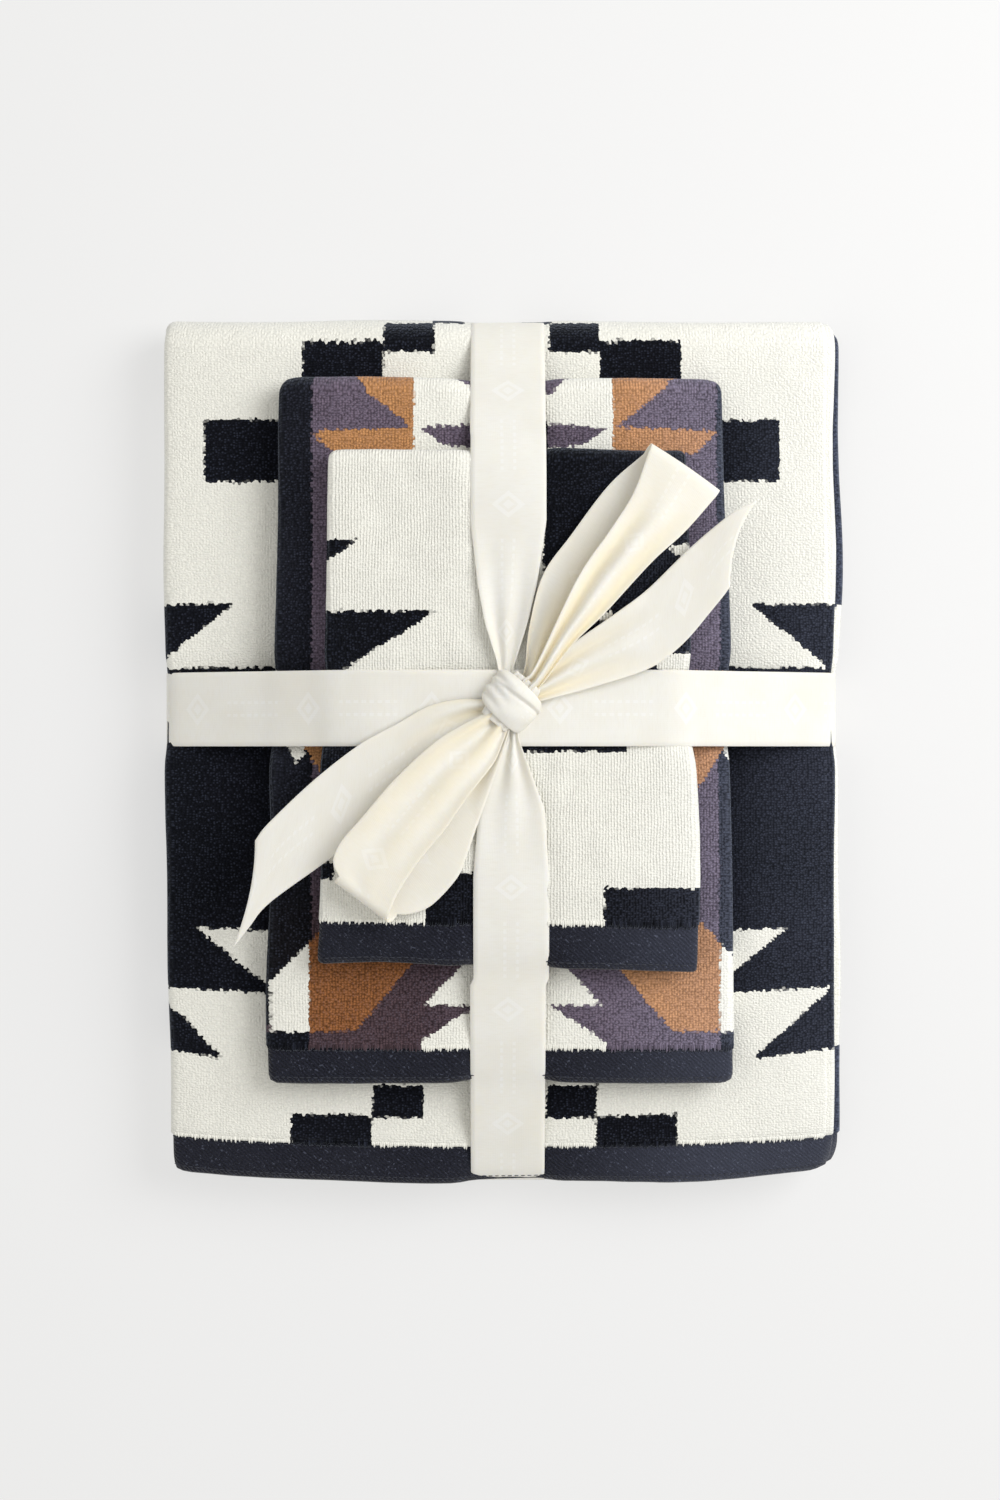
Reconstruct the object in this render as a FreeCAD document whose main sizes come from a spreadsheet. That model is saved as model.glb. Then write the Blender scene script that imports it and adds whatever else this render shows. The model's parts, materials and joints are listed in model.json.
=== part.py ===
import FreeCAD, Part
import math
import os

# A bath towel, a hand towel and a washcloth, each folded, laid one on another and tied
# crosswise and lengthwise with one ribbon that ends in a bow on top.
#
# Frame: +Z up, +Y from the towels' hems towards their folds, +X across. The origin is the
# middle of the stack's footprint, on the surface that it lies on. Millimetres.

V = FreeCAD.Vector
os.makedirs("parts", exist_ok=True)
doc = FreeCAD.newDocument("bath_towel_set")

# ---------------------------------------------------------------- driving dimensions
# alias, value, meaning
SIZES = [
    ("bath_width", 352, "folded width of the bath towel, half its cut width"),
    ("bath_length", 452, "folded length of the bath towel, a third of its cut length"),
    ("bath_ply", 11.2, "two layers of bath towel cloth"),
    ("hand_width", 240, "folded width of the hand towel"),
    ("hand_length", 360, "folded length of the hand towel, half its cut length"),
    ("hand_ply", 9, "hand towel cloth with its sides turned under"),
    ("hand_shift", 11, "hand towel's middle ahead of the bath towel's"),
    ("wash_width", 190, "folded width of the washcloth"),
    ("wash_length", 262, "folded length of the washcloth"),
    ("wash_ply", 7.5, "washcloth cloth with its sides turned under"),
    ("wash_shift", 21, "washcloth's middle ahead of the bath towel's"),
    ("wash_side", 4, "washcloth's middle to the right of the bath towel's"),
    ("wash_flap", 68, "washcloth's back end, turned under"),
    ("wash_slump", 6, "washcloth's front end, below its back where the flap lies under it"),
    ("slit", 0.4, "gap between two layers of one towel"),
    ("rest_gap", 0.3, "gap between one towel and the next"),
    ("bath_hem", 22, "bath towel end hem, width"),
    ("hand_hem", 20, "hand towel end hem, width"),
    ("wash_hem", 22, "washcloth end hem, width"),
    ("hem_drop", 1.2, "hem's face below the pile on each side"),
    ("side_hem", 4, "bath towel side hem, width"),
    ("edge_round", 4, "rounding of the cloth's long edges"),
    ("thread", 0.5, "stitching thread, width and height"),
    ("label_wide", 30, "care label, width"),
    ("label_deep", 14, "care label, depth"),
    ("label_thick", 0.25, "care label, thickness"),
    ("ribbon_width", 38, "ribbon width"),
    ("ribbon_thick", 0.6, "ribbon thickness"),
    ("ribbon_gap", 0.1, "ribbon clear of what it lies on"),
    ("band_side", 4, "lengthwise ribbon's middle, to the right"),
    ("band_ahead", 21, "crosswise ribbon's middle, ahead"),
    ("knot_long", 24, "knot core, along the loops"),
    ("knot_wide", 22, "knot core, across the loops"),
    ("knot_high", 9, "knot core, height"),
    ("wrap_long", 20, "ribbon wrapped round the knot, along the loops"),
    ("wrap_thick", 3, "ribbon wrapped round the knot, folded thickness"),
    ("loop_heading", 53, "upper right loop, degrees from +X"),
    ("loop_right", 146, "upper right loop, knot's middle to the fold"),
    ("loop_left", 124, "lower left loop, knot's middle to the fold"),
    ("loop_high", 13, "loops, height inside"),
    ("loop_root", 4.2, "loops, height where they leave the knot"),
    ("tail_heading", 34, "upper right tail, degrees from +X"),
    ("tail_right", 154, "upper right tail, knot's middle to the tip"),
    ("tail_left", 168, "lower left tail, knot's middle to the tip"),
    ("neck", 5, "tails, half their width where they leave the knot"),
    ("pivot_out", 18.5, "tails, knot's middle to the neck they turn on"),
]

sheet = doc.addObject("Spreadsheet::Sheet", "Sizes")
for row, (alias, value, meaning) in enumerate(SIZES, start=1):
    sheet.set(f"A{row}", alias)
    sheet.set(f"B{row}", str(value))
    sheet.setAlias(f"B{row}", alias)
    sheet.set(f"C{row}", meaning)
doc.recompute()


def size(alias):
    return float(sheet.get(alias))


def bind(obj, **formulas):
    """Bind properties to formulas over the sheet, where a bare @word is one of its cells."""
    for prop, formula in formulas.items():
        obj.setExpression(prop.replace("__", "."), formula.replace("@", "Sizes."))


SUBPARTS = []


def subpart(obj, node, at=V(), turn=0.0):
    """Name a finished object as a node and place it, turned by so many degrees about Z."""
    obj.Label = node
    obj.Placement = FreeCAD.Placement(at, FreeCAD.Rotation(V(0, 0, 1), turn))
    SUBPARTS.append(obj)
    return obj


# ---------------------------------------------------------------- heights, bottom to top
RIBBON = size("ribbon_thick")
CLEAR = size("ribbon_gap")
SLIT = size("slit")

bath_high = 3 * size("bath_ply") + 2 * SLIT
hand_base = bath_high + size("rest_gap")
hand_high = 2 * size("hand_ply") + SLIT
wash_base = hand_base + hand_high + size("rest_gap")
wash_high = 2 * size("wash_ply") + SLIT
stack_top = wash_base + wash_high
cross_top = stack_top + CLEAR + RIBBON
band_top = cross_top + CLEAR + RIBBON
tail_base = band_top + 3 * CLEAR
loop_base = tail_base + RIBBON + 4 * CLEAR


# ---------------------------------------------------------------- sketches and outlines
def corner_arc(before, corner, after, radius):
    """Start, middle and end of the arc that rounds a corner."""
    back = (before - corner).normalize()
    ahead = (after - corner).normalize()
    half = back.getAngle(ahead) / 2
    reach = radius / math.tan(half)
    middle = corner + (back + ahead).normalize() * (radius / math.sin(half) - radius)
    return corner + back * reach, middle, corner + ahead * reach


def rounded(points, radius, is_closed=True):
    """Edges of a polygon, closed or open, with an arc of one radius at each corner."""
    if is_closed:
        around = [points[-1]] + points + [points[0]]
    else:
        around = points
    arcs = [corner_arc(*around[i - 1:i + 2], radius) for i in range(1, len(around) - 1)]
    edges = [Part.Arc(*arc) for arc in arcs]
    edges += [Part.LineSegment(a[2], b[0]) for a, b in zip(arcs, arcs[1:])]
    if is_closed:
        edges.append(Part.LineSegment(arcs[-1][2], arcs[0][0]))
    else:
        edges.append(Part.LineSegment(points[0], arcs[0][0]))
        edges.append(Part.LineSegment(arcs[-1][2], points[-1]))
    return edges


def grown(points, distance):
    """A closed anticlockwise polygon with every side moved outwards."""
    count = len(points)
    corners = []
    for i, corner in enumerate(points):
        before = (corner - points[i - 1]).normalize()
        after = (points[(i + 1) % count] - corner).normalize()
        out_before = V(before.y, -before.x)
        out_after = V(after.y, -after.x)
        mid = (out_before + out_after).normalize()
        corners.append(corner + mid * (distance / mid.dot(out_before)))
    return corners


def plane_of(body, role):
    for feature in body.Origin.OriginFeatures:
        if feature.Role == role:
            return feature
    raise RuntimeError("no plane " + role)


def padded_body(name, role, edges, length):
    """A body made of one outline on an origin plane, padded evenly to both sides."""
    body = doc.addObject("PartDesign::Body", name)
    sketch = body.newObject("Sketcher::SketchObject", name + "_outline")
    sketch.AttachmentSupport = [(plane_of(body, role), "")]
    sketch.MapMode = "FlatFace"
    sketch.addGeometry(edges, False)
    pad = body.newObject("PartDesign::Pad", name + "_pad")
    pad.Profile = sketch
    pad.Midplane = True
    bind(pad, Length=length)
    doc.recompute()
    return body


def side_edges(shape, levels):
    """Names of the long straight edges on a padded cloth's two sides, at the given heights."""
    names = []
    half = shape.BoundBox.XMax
    for number, edge in enumerate(shape.Edges, start=1):
        box = edge.BoundBox
        flat = box.ZLength < 1e-6 and box.XLength < 1e-6 and box.YLength > 50
        if flat and abs(abs(box.XMax) - half) < 1e-6 and any(abs(box.ZMin - z) < 1e-6 for z in levels):
            names.append(f"Edge{number}")
    return names


def cloth_outline(layers, ply, front, back, inner_end, top_end, slump):
    """A folded strip's outline, seen from the side: Y across the sketch, Z up.

    The top layer runs from top_end back to the fold at back and returns under itself. With
    three layers the strip then turns up again at front and ends between the two, at inner_end.
    With two, the top layer's end may slump where nothing of its own lies under it.
    """
    high = layers * ply + (layers - 1) * SLIT
    big = high / 2
    end_low, end_high = V(top_end, high - ply - slump), V(top_end, high - slump)
    level = inner_end if slump else (top_end + back) / 2
    back_mid = V(back - big, big)
    edges = [
        Part.LineSegment(end_low, end_high),
        Part.LineSegment(end_high, V(level, high)),
        Part.LineSegment(V(level, high), V(back_mid.x, high)),
        Part.Arc(V(back_mid.x, high), back_mid + V(big, 0), V(back_mid.x, 0)),
    ]
    if layers == 3:
        small = ply + SLIT / 2
        front_mid = V(front + small, small)
        edges += [
            Part.LineSegment(V(back_mid.x, 0), V(front_mid.x, 0)),
            Part.Arc(V(front_mid.x, 0), front_mid - V(small, 0), V(front_mid.x, 2 * small)),
            Part.LineSegment(V(front_mid.x, 2 * small), V(inner_end, 2 * small)),
            Part.LineSegment(V(inner_end, 2 * small), V(inner_end, ply + SLIT)),
            Part.LineSegment(V(inner_end, ply + SLIT), V(front_mid.x, ply + SLIT)),
            Part.Arc(V(front_mid.x, ply + SLIT), front_mid - V(SLIT / 2, 0), V(front_mid.x, ply)),
            Part.LineSegment(V(front_mid.x, ply), V(back_mid.x, ply)),
        ]
    else:
        edges += [
            Part.LineSegment(V(back_mid.x, 0), V(inner_end, 0)),
            Part.LineSegment(V(inner_end, 0), V(inner_end, ply)),
            Part.LineSegment(V(inner_end, ply), V(back_mid.x, ply)),
        ]
    inside = big - ply
    edges += [
        Part.Arc(V(back_mid.x, ply), back_mid + V(inside, 0), V(back_mid.x, high - ply)),
        Part.LineSegment(V(back_mid.x, high - ply), V(level, high - ply)),
        Part.LineSegment(V(level, high - ply), end_low),
    ]
    return edges


def folded_cloth(name, width, layers, ply, front, back, inner_end, top_end, slump=0.0):
    """The pile cloth of one towel, folded, with its long edges rounded off unless it slumps."""
    edges = cloth_outline(layers, ply, front, back, inner_end, top_end, slump)
    body = padded_body(name, "YZ_Plane", edges, width)
    if slump:
        return body
    pad = body.Tip
    fillet = body.newObject("PartDesign::Fillet", name + "_soft_edges")
    high = layers * ply + (layers - 1) * SLIT
    fillet.Base = (pad, side_edges(pad.Shape, [0, high]))
    bind(fillet, Radius="@edge_round")
    doc.recompute()
    return body


def box(name, at, **formulas):
    block = doc.addObject("Part::Box", name)
    bind(block, **formulas)
    block.Placement.Base = at
    return block


def compound(name, pieces):
    group = doc.addObject("Part::Compound", name)
    group.Links = pieces
    return group


# ---------------------------------------------------------------- bath towel
def bath_towel():
    half_long = size("bath_length") / 2
    half_wide = size("bath_width") / 2
    hem = size("bath_hem")
    ply = size("bath_ply")
    lip = 2.0
    top_end = -half_long + lip + hem
    inner_end = half_long - bath_high / 2 - hem
    cloth = folded_cloth("bath_cloth", "@bath_width - @side_hem", 3, ply,
                         -half_long, half_long, inner_end, top_end)

    # two shallow channels in the underside, which the ribbon lies in
    reach = 2 * half_long
    cross = box("bath_cross_channel", V(-half_long, size("band_ahead") - size("ribbon_width") / 2 - 1, -1),
                Width="@ribbon_width + 2", Height="@ribbon_thick + @ribbon_gap + 1")
    cross.Length = reach
    along = box("bath_long_channel", V(size("band_side") - size("ribbon_width") / 2 - 1, -half_long, -1),
                Length="@ribbon_width + 2", Height="2 * (@ribbon_thick + @ribbon_gap) + 1")
    along.Width = reach
    channels = doc.addObject("Part::MultiFuse", "bath_channels")
    channels.Shapes = [cross, along]
    cloth.Placement.Base = V(-size("side_hem") / 2, 0, 0)
    cut = doc.addObject("Part::Cut", "bath_cloth_channelled")
    cut.Base = cloth
    cut.Tool = channels
    subpart(cut, "bath_towel_cloth")

    drop = size("hem_drop")
    top_floor = 2 * (ply + SLIT)
    hem_shape = {"Length": "@bath_width - @side_hem", "Width": "@bath_hem",
                 "Height": "@bath_ply - 2 * @hem_drop"}
    subpart(box("bath_hem_a", V(), **hem_shape), "bath_towel_top_hem",
            V(-half_wide, top_end - hem, top_floor + drop))
    subpart(box("bath_hem_b", V(), **hem_shape), "bath_towel_inner_hem",
            V(-half_wide, inner_end, ply + SLIT + drop))

    # the hemmed sides lie together on the right, one pair of edges to each folded layer
    bars = []
    layer_spans = [(-half_long + 24, half_long - 24), (-half_long + 24, inner_end), (top_end, half_long - 24)]
    for layer, (start, end) in enumerate(layer_spans):
        for side in range(2):
            level = layer * (ply + SLIT) + (0.5 + side) * ply / 2 - ply / 8
            bar = box(f"bath_side_{layer}_{side}", V(half_wide - size("side_hem"), start, level),
                      Length="@side_hem - 0.6", Height="@bath_ply / 4")
            bar.Width = end - start
            bars.append(bar)
    subpart(compound("bath_sides", bars), "bath_towel_side_hems")

    rows = []
    for place in (0.25, 0.9):
        rows.append(box(f"bath_row_{place}", V(-half_wide + 6, top_end - hem * place,
                                               top_floor + ply - drop),
                        Length="@bath_width - 16", Width="@thread", Height="@thread"))
    subpart(compound("bath_rows", rows), "bath_towel_hem_stitching")
    subpart(box("bath_tag", V(), Length="@label_deep", Width="@label_wide", Height="@label_thick"),
            "bath_towel_care_label", V(half_wide - 22, 60, top_floor - SLIT + 0.08))


# ---------------------------------------------------------------- hand towel and washcloth
def small_towel(key, node, side, base, high, under_end, slump=0.0):
    """A towel with its sides turned under and then its far end, which reaches to under_end."""
    half_long = size(key + "_length") / 2
    half_wide = size(key + "_width") / 2
    ply = size(key + "_ply")
    hem = size(key + "_hem")
    shift = size(key + "_shift")
    drop = size("hem_drop")
    front, back = shift - half_long, shift + half_long
    cloth = folded_cloth(key + "_cloth", f"@{key}_width", 2, ply, front, back,
                         under_end + hem, front + hem, slump)
    subpart(cloth, node + "_cloth", V(side, 0, base))
    hem_shape = {"Length": f"@{key}_width - 6", "Width": f"@{key}_hem", "Height": f"@{key}_ply - 2 * @hem_drop"}
    left = side - half_wide + 3
    subpart(box(key + "_hem_a", V(), **hem_shape), node + "_top_hem",
            V(left, front, base + ply + SLIT + drop - slump))
    subpart(box(key + "_hem_b", V(), **hem_shape), node + "_under_hem",
            V(left, under_end, base + drop))
    rows = []
    for place in (0.15, 0.9):
        rows.append(box(f"{key}_row_{place}", V(left + 3, front + hem * (1 - place),
                                              base + high - drop - slump),
                        Length=f"@{key}_width - 12", Width="@thread", Height="@thread"))
    subpart(compound(key + "_rows", rows), node + "_hem_stitching")
    subpart(box(key + "_tag", V(), Length="@label_deep", Width="@label_wide", Height="@label_thick"),
            node + "_care_label", V(side + half_wide - 24, back - 42, base + ply + 0.08))


# ---------------------------------------------------------------- ribbon round the stack
def band(name, node, role, corners, at):
    """One closed turn of ribbon: its inner outline, grown outwards by the ribbon's thickness."""
    inside = 2.0
    outline = rounded(grown(corners, RIBBON), inside + RIBBON) + rounded(corners, inside)
    subpart(padded_body(name, role, outline, "@ribbon_width"), node, at)


def ribbon_bands():
    # anticlockwise from the lower left: under the stack, up the right side, over the steps
    bath = size("bath_width") / 2 + 2 * CLEAR
    hand = size("hand_width") / 2 + 1
    wash = size("wash_width") / 2 + 1
    step = size("wash_side")
    crosswise = [
        V(-bath, RIBBON), V(bath, RIBBON), V(bath, bath_high + 3 * CLEAR),
        V(hand, wash_base + CLEAR), V(step + wash, stack_top + CLEAR), V(step - wash, stack_top + CLEAR),
        V(-hand, wash_base + CLEAR), V(-bath, bath_high + 3 * CLEAR),
    ]
    band("cross_band", "ribbon_crosswise_band", "XZ_Plane", crosswise, V(0, size("band_ahead"), 0))

    lift = RIBBON + CLEAR
    bath = size("bath_length") / 2 + 2 * CLEAR
    hand = size("hand_length") / 2 + 1
    wash = size("wash_length") / 2 + 1
    hand_mid = size("hand_shift")
    wash_mid = size("wash_shift")
    lengthwise = [
        V(-bath, RIBBON + lift), V(bath, RIBBON + lift), V(bath, bath_high + lift + 3 * CLEAR),
        V(hand_mid + hand, wash_base + lift + CLEAR), V(wash_mid + wash, cross_top + CLEAR),
        V(wash_mid - wash, cross_top + CLEAR), V(hand_mid - hand, wash_base + lift + CLEAR),
        V(-bath, bath_high + lift + 3 * CLEAR),
    ]
    band("long_band", "ribbon_lengthwise_band", "YZ_Plane", lengthwise, V(size("band_side"), 0, 0))


# ---------------------------------------------------------------- bow
def knot():
    at = V(size("band_side"), size("band_ahead"), band_top + CLEAR)
    wrap = size("wrap_thick")
    turn = size("loop_heading")
    core = box("knot_core_block", V(-size("knot_long") / 2, -size("knot_wide") / 2, wrap / 2 + CLEAR),
               Length="@knot_long", Width="@knot_wide", Height="@knot_high")
    soft_core = doc.addObject("Part::Fillet", "knot_core_soft")
    soft_core.Base = core
    doc.recompute()
    soft_core.Edges = [(n, 2.5, 2.5) for n in range(1, 13)]
    subpart(soft_core, "ribbon_knot_core", at, turn)

    outer = box("wrap_block", V(-size("wrap_long") / 2, -size("knot_wide") / 2 - wrap, 0),
                Length="@wrap_long", Width="@knot_wide + 2 * @wrap_thick",
                Height="@knot_high + @wrap_thick * 1.5 + 2 * @ribbon_gap")
    soft = doc.addObject("Part::Fillet", "wrap_soft")
    soft.Base = outer
    doc.recompute()
    long_edges = [n for n, e in enumerate(outer.Shape.Edges, 1) if e.BoundBox.XLength > 1]
    soft.Edges = [(n, 4.0, 4.0) for n in long_edges]
    hollow = box("wrap_hollow", V(-size("wrap_long"), -size("knot_wide") / 2 - CLEAR, wrap / 2),
                 Width="@knot_wide + 2 * @ribbon_gap", Height="@knot_high + 2 * @ribbon_gap")
    hollow.Length = 2 * size("wrap_long")
    ring = doc.addObject("Part::Cut", "wrap_ring")
    ring.Base = soft
    ring.Tool = hollow
    subpart(ring, "ribbon_knot_wrap", at, turn)


def standing_sketch(name, edges):
    """A sketch in the XZ plane, free of any body."""
    sketch = doc.addObject("Sketcher::SketchObject", name)
    sketch.Placement = FreeCAD.Placement(V(), FreeCAD.Rotation(V(1, 0, 0), 90))
    sketch.addGeometry(edges, False)
    return sketch


def flat_sketch(name, edges):
    sketch = doc.addObject("Sketcher::SketchObject", name)
    sketch.addGeometry(edges, False)
    return sketch


def closed(points):
    return [Part.LineSegment(a, b) for a, b in zip(points, points[1:] + points[:1])]


def loop(side, node, length, turn):
    """A hollow ribbon loop: a flattened ring seen from the side, narrowed in plan at the knot."""
    start = size("knot_long") / 2 + 0.5
    root = size("loop_root")
    inside = size("loop_high")
    swell = start + 0.45 * (length - start)
    hinge = V(start + root / 2, root / 2)
    side_view = [
        V(hinge.x, 0), V(length, 0), V(length, inside * 0.8), V(swell + 22, inside + 2 * RIBBON),
        V(swell - 18, inside + RIBBON), V(hinge.x + root, root), V(hinge.x, root),
    ]
    root_end = Part.Arc(side_view[-1], hinge - V(root / 2, 0), side_view[0])
    hollow = [
        V(start + 9, RIBBON), V(length - RIBBON, RIBBON), V(length - RIBBON, inside * 0.8 - RIBBON * 0.7),
        V(swell + 22, inside + RIBBON), V(swell - 18, inside), V(start + 9, root * 0.7),
    ]
    profile = rounded(side_view, 1.2, is_closed=False) + [root_end] + rounded(hollow, 0.6)
    tube = doc.addObject("Part::Extrusion", f"loop_{side}_band")
    tube.Base = standing_sketch(f"loop_{side}_side", profile)
    tube.DirMode = "Normal"
    tube.Solid = True
    tube.Symmetric = True
    bind(tube, LengthFwd="@ribbon_width + 4")

    half = size("ribbon_width") / 2
    plan = [
        V(start - 1, -11), V(start + 34, -half), V(length + 5, -half), V(length + 5, half),
        V(start + 34, half), V(start - 1, 11),
    ]
    block = doc.addObject("Part::Extrusion", f"loop_{side}_plan")
    block.Base = flat_sketch(f"loop_{side}_outline", closed(plan))
    block.DirMode = "Normal"
    block.Solid = True
    bind(block, LengthFwd="@loop_high * 2")
    both = doc.addObject("Part::Common", f"loop_{side}_shape")
    both.Base = tube
    both.Tool = block
    subpart(both, node, V(size("band_side"), size("band_ahead"), loop_base), turn)


def tail(side, node, length, turn):
    """A flat ribbon end: a round neck at the knot, widening to a slanted cut."""
    neck = size("neck")
    pivot = size("pivot_out")
    half = size("ribbon_width") / 2
    corners = [
        V(pivot, -neck), V(62, -half - 3), V(length - 42, -half + 2), V(length, half - 3),
        V(62, half - 10), V(pivot, neck),
    ]
    edges = [Part.LineSegment(a, b) for a, b in zip(corners, corners[1:])]
    edges.append(Part.Arc(corners[-1], V(pivot - neck, 0), corners[0]))
    strip = doc.addObject("Part::Extrusion", f"tail_{side}_strip")
    strip.Base = flat_sketch(f"tail_{side}_outline", edges)
    strip.DirMode = "Normal"
    strip.Solid = True
    bind(strip, LengthFwd="@ribbon_thick")
    subpart(strip, node, V(size("band_side"), size("band_ahead"), tail_base), turn)


bath_towel()
small_towel("hand", "hand_towel", 0, hand_base, hand_high,
            size("hand_shift") - size("hand_length") / 2 + 3)
small_towel("wash", "washcloth", size("wash_side"), wash_base, wash_high,
            size("wash_shift") + size("wash_length") / 2 - size("wash_flap"), size("wash_slump"))
ribbon_bands()
knot()
loop("right", "ribbon_loop_upper_right", size("loop_right"), size("loop_heading"))
loop("left", "ribbon_loop_lower_left", size("loop_left"), size("loop_heading") + 180)
tail("right", "ribbon_tail_upper_right", size("tail_right"), size("tail_heading"))
tail("left", "ribbon_tail_lower_left", size("tail_left"), size("tail_heading") + 180)

# ---------------------------------------------------------------- check and write
doc.recompute()
for obj in doc.Objects:
    if "Invalid" in obj.State or "Error" in obj.State:
        raise RuntimeError(f"{obj.Name} failed: {obj.State}")
for obj in SUBPARTS:
    if obj.Shape.isNull() or not obj.Shape.isValid() or obj.Shape.Volume <= 0:
        raise RuntimeError(f"{obj.Label} has a bad shape")
for obj in SUBPARTS:
    obj.Shape.exportStep(f"parts/{obj.Label}.step")
    low = obj.Shape.BoundBox
    print(f"{obj.Label:28s} solids {len(obj.Shape.Solids)}  volume {obj.Shape.Volume:12.1f}  "
          f"z {low.ZMin:6.2f} to {low.ZMax:6.2f}")
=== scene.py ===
"""A bath towel, a hand towel and a washcloth, folded, stacked and tied with a satin ribbon and bow.

Each towel is one sheet of cloth taken round its real folds. Its woven design is drawn by nodes in
the flat cloth's own coordinates, and the ribbon is laid over the finished towels.
"""
import json
import math

import bpy
import numpy as np
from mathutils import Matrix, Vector
from mathutils.bvhtree import BVHTree

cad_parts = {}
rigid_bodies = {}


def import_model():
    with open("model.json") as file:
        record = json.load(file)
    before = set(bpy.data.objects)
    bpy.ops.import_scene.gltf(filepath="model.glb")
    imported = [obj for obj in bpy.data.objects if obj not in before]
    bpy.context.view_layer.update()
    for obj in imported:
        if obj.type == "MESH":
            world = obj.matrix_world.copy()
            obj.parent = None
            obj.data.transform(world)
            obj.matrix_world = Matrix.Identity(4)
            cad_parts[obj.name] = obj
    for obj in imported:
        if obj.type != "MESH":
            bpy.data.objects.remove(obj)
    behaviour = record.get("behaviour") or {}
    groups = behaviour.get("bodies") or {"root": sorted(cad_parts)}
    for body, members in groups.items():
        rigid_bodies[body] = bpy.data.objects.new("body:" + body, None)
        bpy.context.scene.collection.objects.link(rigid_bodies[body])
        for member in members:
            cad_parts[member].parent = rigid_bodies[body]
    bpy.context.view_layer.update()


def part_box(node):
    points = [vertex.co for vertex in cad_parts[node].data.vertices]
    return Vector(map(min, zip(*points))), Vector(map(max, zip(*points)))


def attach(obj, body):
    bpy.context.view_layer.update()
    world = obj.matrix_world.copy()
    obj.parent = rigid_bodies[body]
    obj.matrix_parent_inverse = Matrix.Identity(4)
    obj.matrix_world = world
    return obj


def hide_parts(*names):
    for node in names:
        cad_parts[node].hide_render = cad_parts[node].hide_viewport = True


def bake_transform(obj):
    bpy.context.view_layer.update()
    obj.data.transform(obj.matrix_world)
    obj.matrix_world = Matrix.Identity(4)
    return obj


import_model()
MM = 0.001
UV_PER_MM = 0.01
STACK = "tied_stack"
# name of the point attribute that holds how much painted warm fold shade the satin gets
PAINTED_FOLD_SHADE = "fold_depth"


# ------ places, from the CAD frame
def box_mm(node):
    low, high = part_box(node)
    return np.array(low) / MM, np.array(high) / MM


BATH_LOW, BATH_HIGH = box_mm("bath_towel_cloth")
CROSS_LOW, CROSS_HIGH = box_mm("ribbon_crosswise_band")
LONG_LOW, LONG_HIGH = box_mm("ribbon_lengthwise_band")
BAND_Y = (CROSS_LOW[1] + CROSS_HIGH[1]) / 2
BAND_X = (LONG_LOW[0] + LONG_HIGH[0]) / 2
RIBBON_WIDE = CROSS_HIGH[1] - CROSS_LOW[1]
RIBBON_THICK = 0.45


# ------ small numeric helpers
def smooth(t):
    t = np.clip(t, 0.0, 1.0)
    return t * t * (3 - 2 * t)


def wobble(points, scale, seed, waves=14):
    """Smooth noise of about -1 to 1, as a sum of waves of one length in random directions."""
    draw = np.random.default_rng(seed)
    directions = draw.normal(size=(waves, points.shape[-1]))
    directions /= np.linalg.norm(directions, axis=1)[:, None]
    lengths = draw.uniform(0.75, 1.5, waves)
    phases = draw.uniform(0, 2 * math.pi, waves)
    total = np.zeros(points.shape[:-1])
    for direction, length, phase in zip(directions, lengths, phases):
        total += np.sin(points @ direction * (2 * math.pi * length / scale) + phase)
    return total / math.sqrt(waves)


def direction(angle):
    return np.array([math.cos(angle), math.sin(angle)])


def trace(start, heading, parts, lengths):
    """Points and headings at the given lengths along straights and arcs.

    A part is (length, turn): turn is the whole angle it bends through, anticlockwise positive.
    """
    points = np.zeros((len(lengths), 2))
    angles = np.zeros(len(lengths))
    at, done = np.array(start, float), 0.0
    for number, (length, turn) in enumerate(parts):
        last = number == len(parts) - 1
        here = (lengths >= done) & ((lengths <= done + length) | last)
        along = lengths[here] - done
        if turn == 0:
            points[here] = at + np.outer(along, direction(heading))
            angles[here] = heading
            at = at + length * direction(heading)
        else:
            radius = length / turn
            centre = at + radius * np.array([-math.sin(heading), math.cos(heading)])
            bend = heading + along / radius
            points[here] = centre + radius * np.stack([np.sin(bend), -np.cos(bend)], 1)
            angles[here] = bend
            heading += turn
            at = centre + radius * np.array([math.sin(heading), -math.cos(heading)])
        done += length
    return points, angles


def stations(parts, step, arc_steps=9, ends=(0.0, None)):
    """Lengths to sample a traced path at: evenly on straights, closely round arcs."""
    total = sum(length for length, _ in parts)
    low, high = ends[0], total if ends[1] is None else ends[1]
    marks, done = [low, high], 0.0
    for length, turn in parts:
        count = arc_steps if turn else max(1, round(length / step))
        marks += list(np.linspace(done, done + length, count + 1))
        done += length
    marks = np.array(sorted(m for m in marks if low <= m <= high))
    keep = np.concatenate([[True], np.diff(marks) > 0.3])
    keep[-1] = True
    return marks[keep]


# ------ meshes
def new_object(name, verts, faces, mats, uvs=None, face_mats=None):
    """A smooth-shaded object from vertices in millimetres."""
    mesh = bpy.data.meshes.new(name)
    mesh.from_pydata((np.asarray(verts) * MM).tolist(), [], faces)
    for mat in mats:
        mesh.materials.append(mat)
    mesh.polygons.foreach_set("use_smooth", [True] * len(mesh.polygons))
    if face_mats is not None:
        mesh.polygons.foreach_set("material_index", face_mats)
    if uvs is not None:
        layer = mesh.uv_layers.new(name="cloth")
        loops = np.zeros(len(mesh.loops), np.int32)
        mesh.loops.foreach_get("vertex_index", loops)
        layer.data.foreach_set("uv", (np.asarray(uvs)[loops] * UV_PER_MM).ravel().tolist())
    mesh.validate()
    mesh.update()
    obj = bpy.data.objects.new(name, mesh)
    bpy.context.scene.collection.objects.link(obj)
    return obj


def grid_normals(grid):
    du = np.gradient(grid, axis=0)
    dv = np.gradient(grid, axis=1)
    normal = np.cross(du, dv)
    return normal / np.maximum(np.linalg.norm(normal, axis=-1), 1e-9)[..., None]


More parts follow.
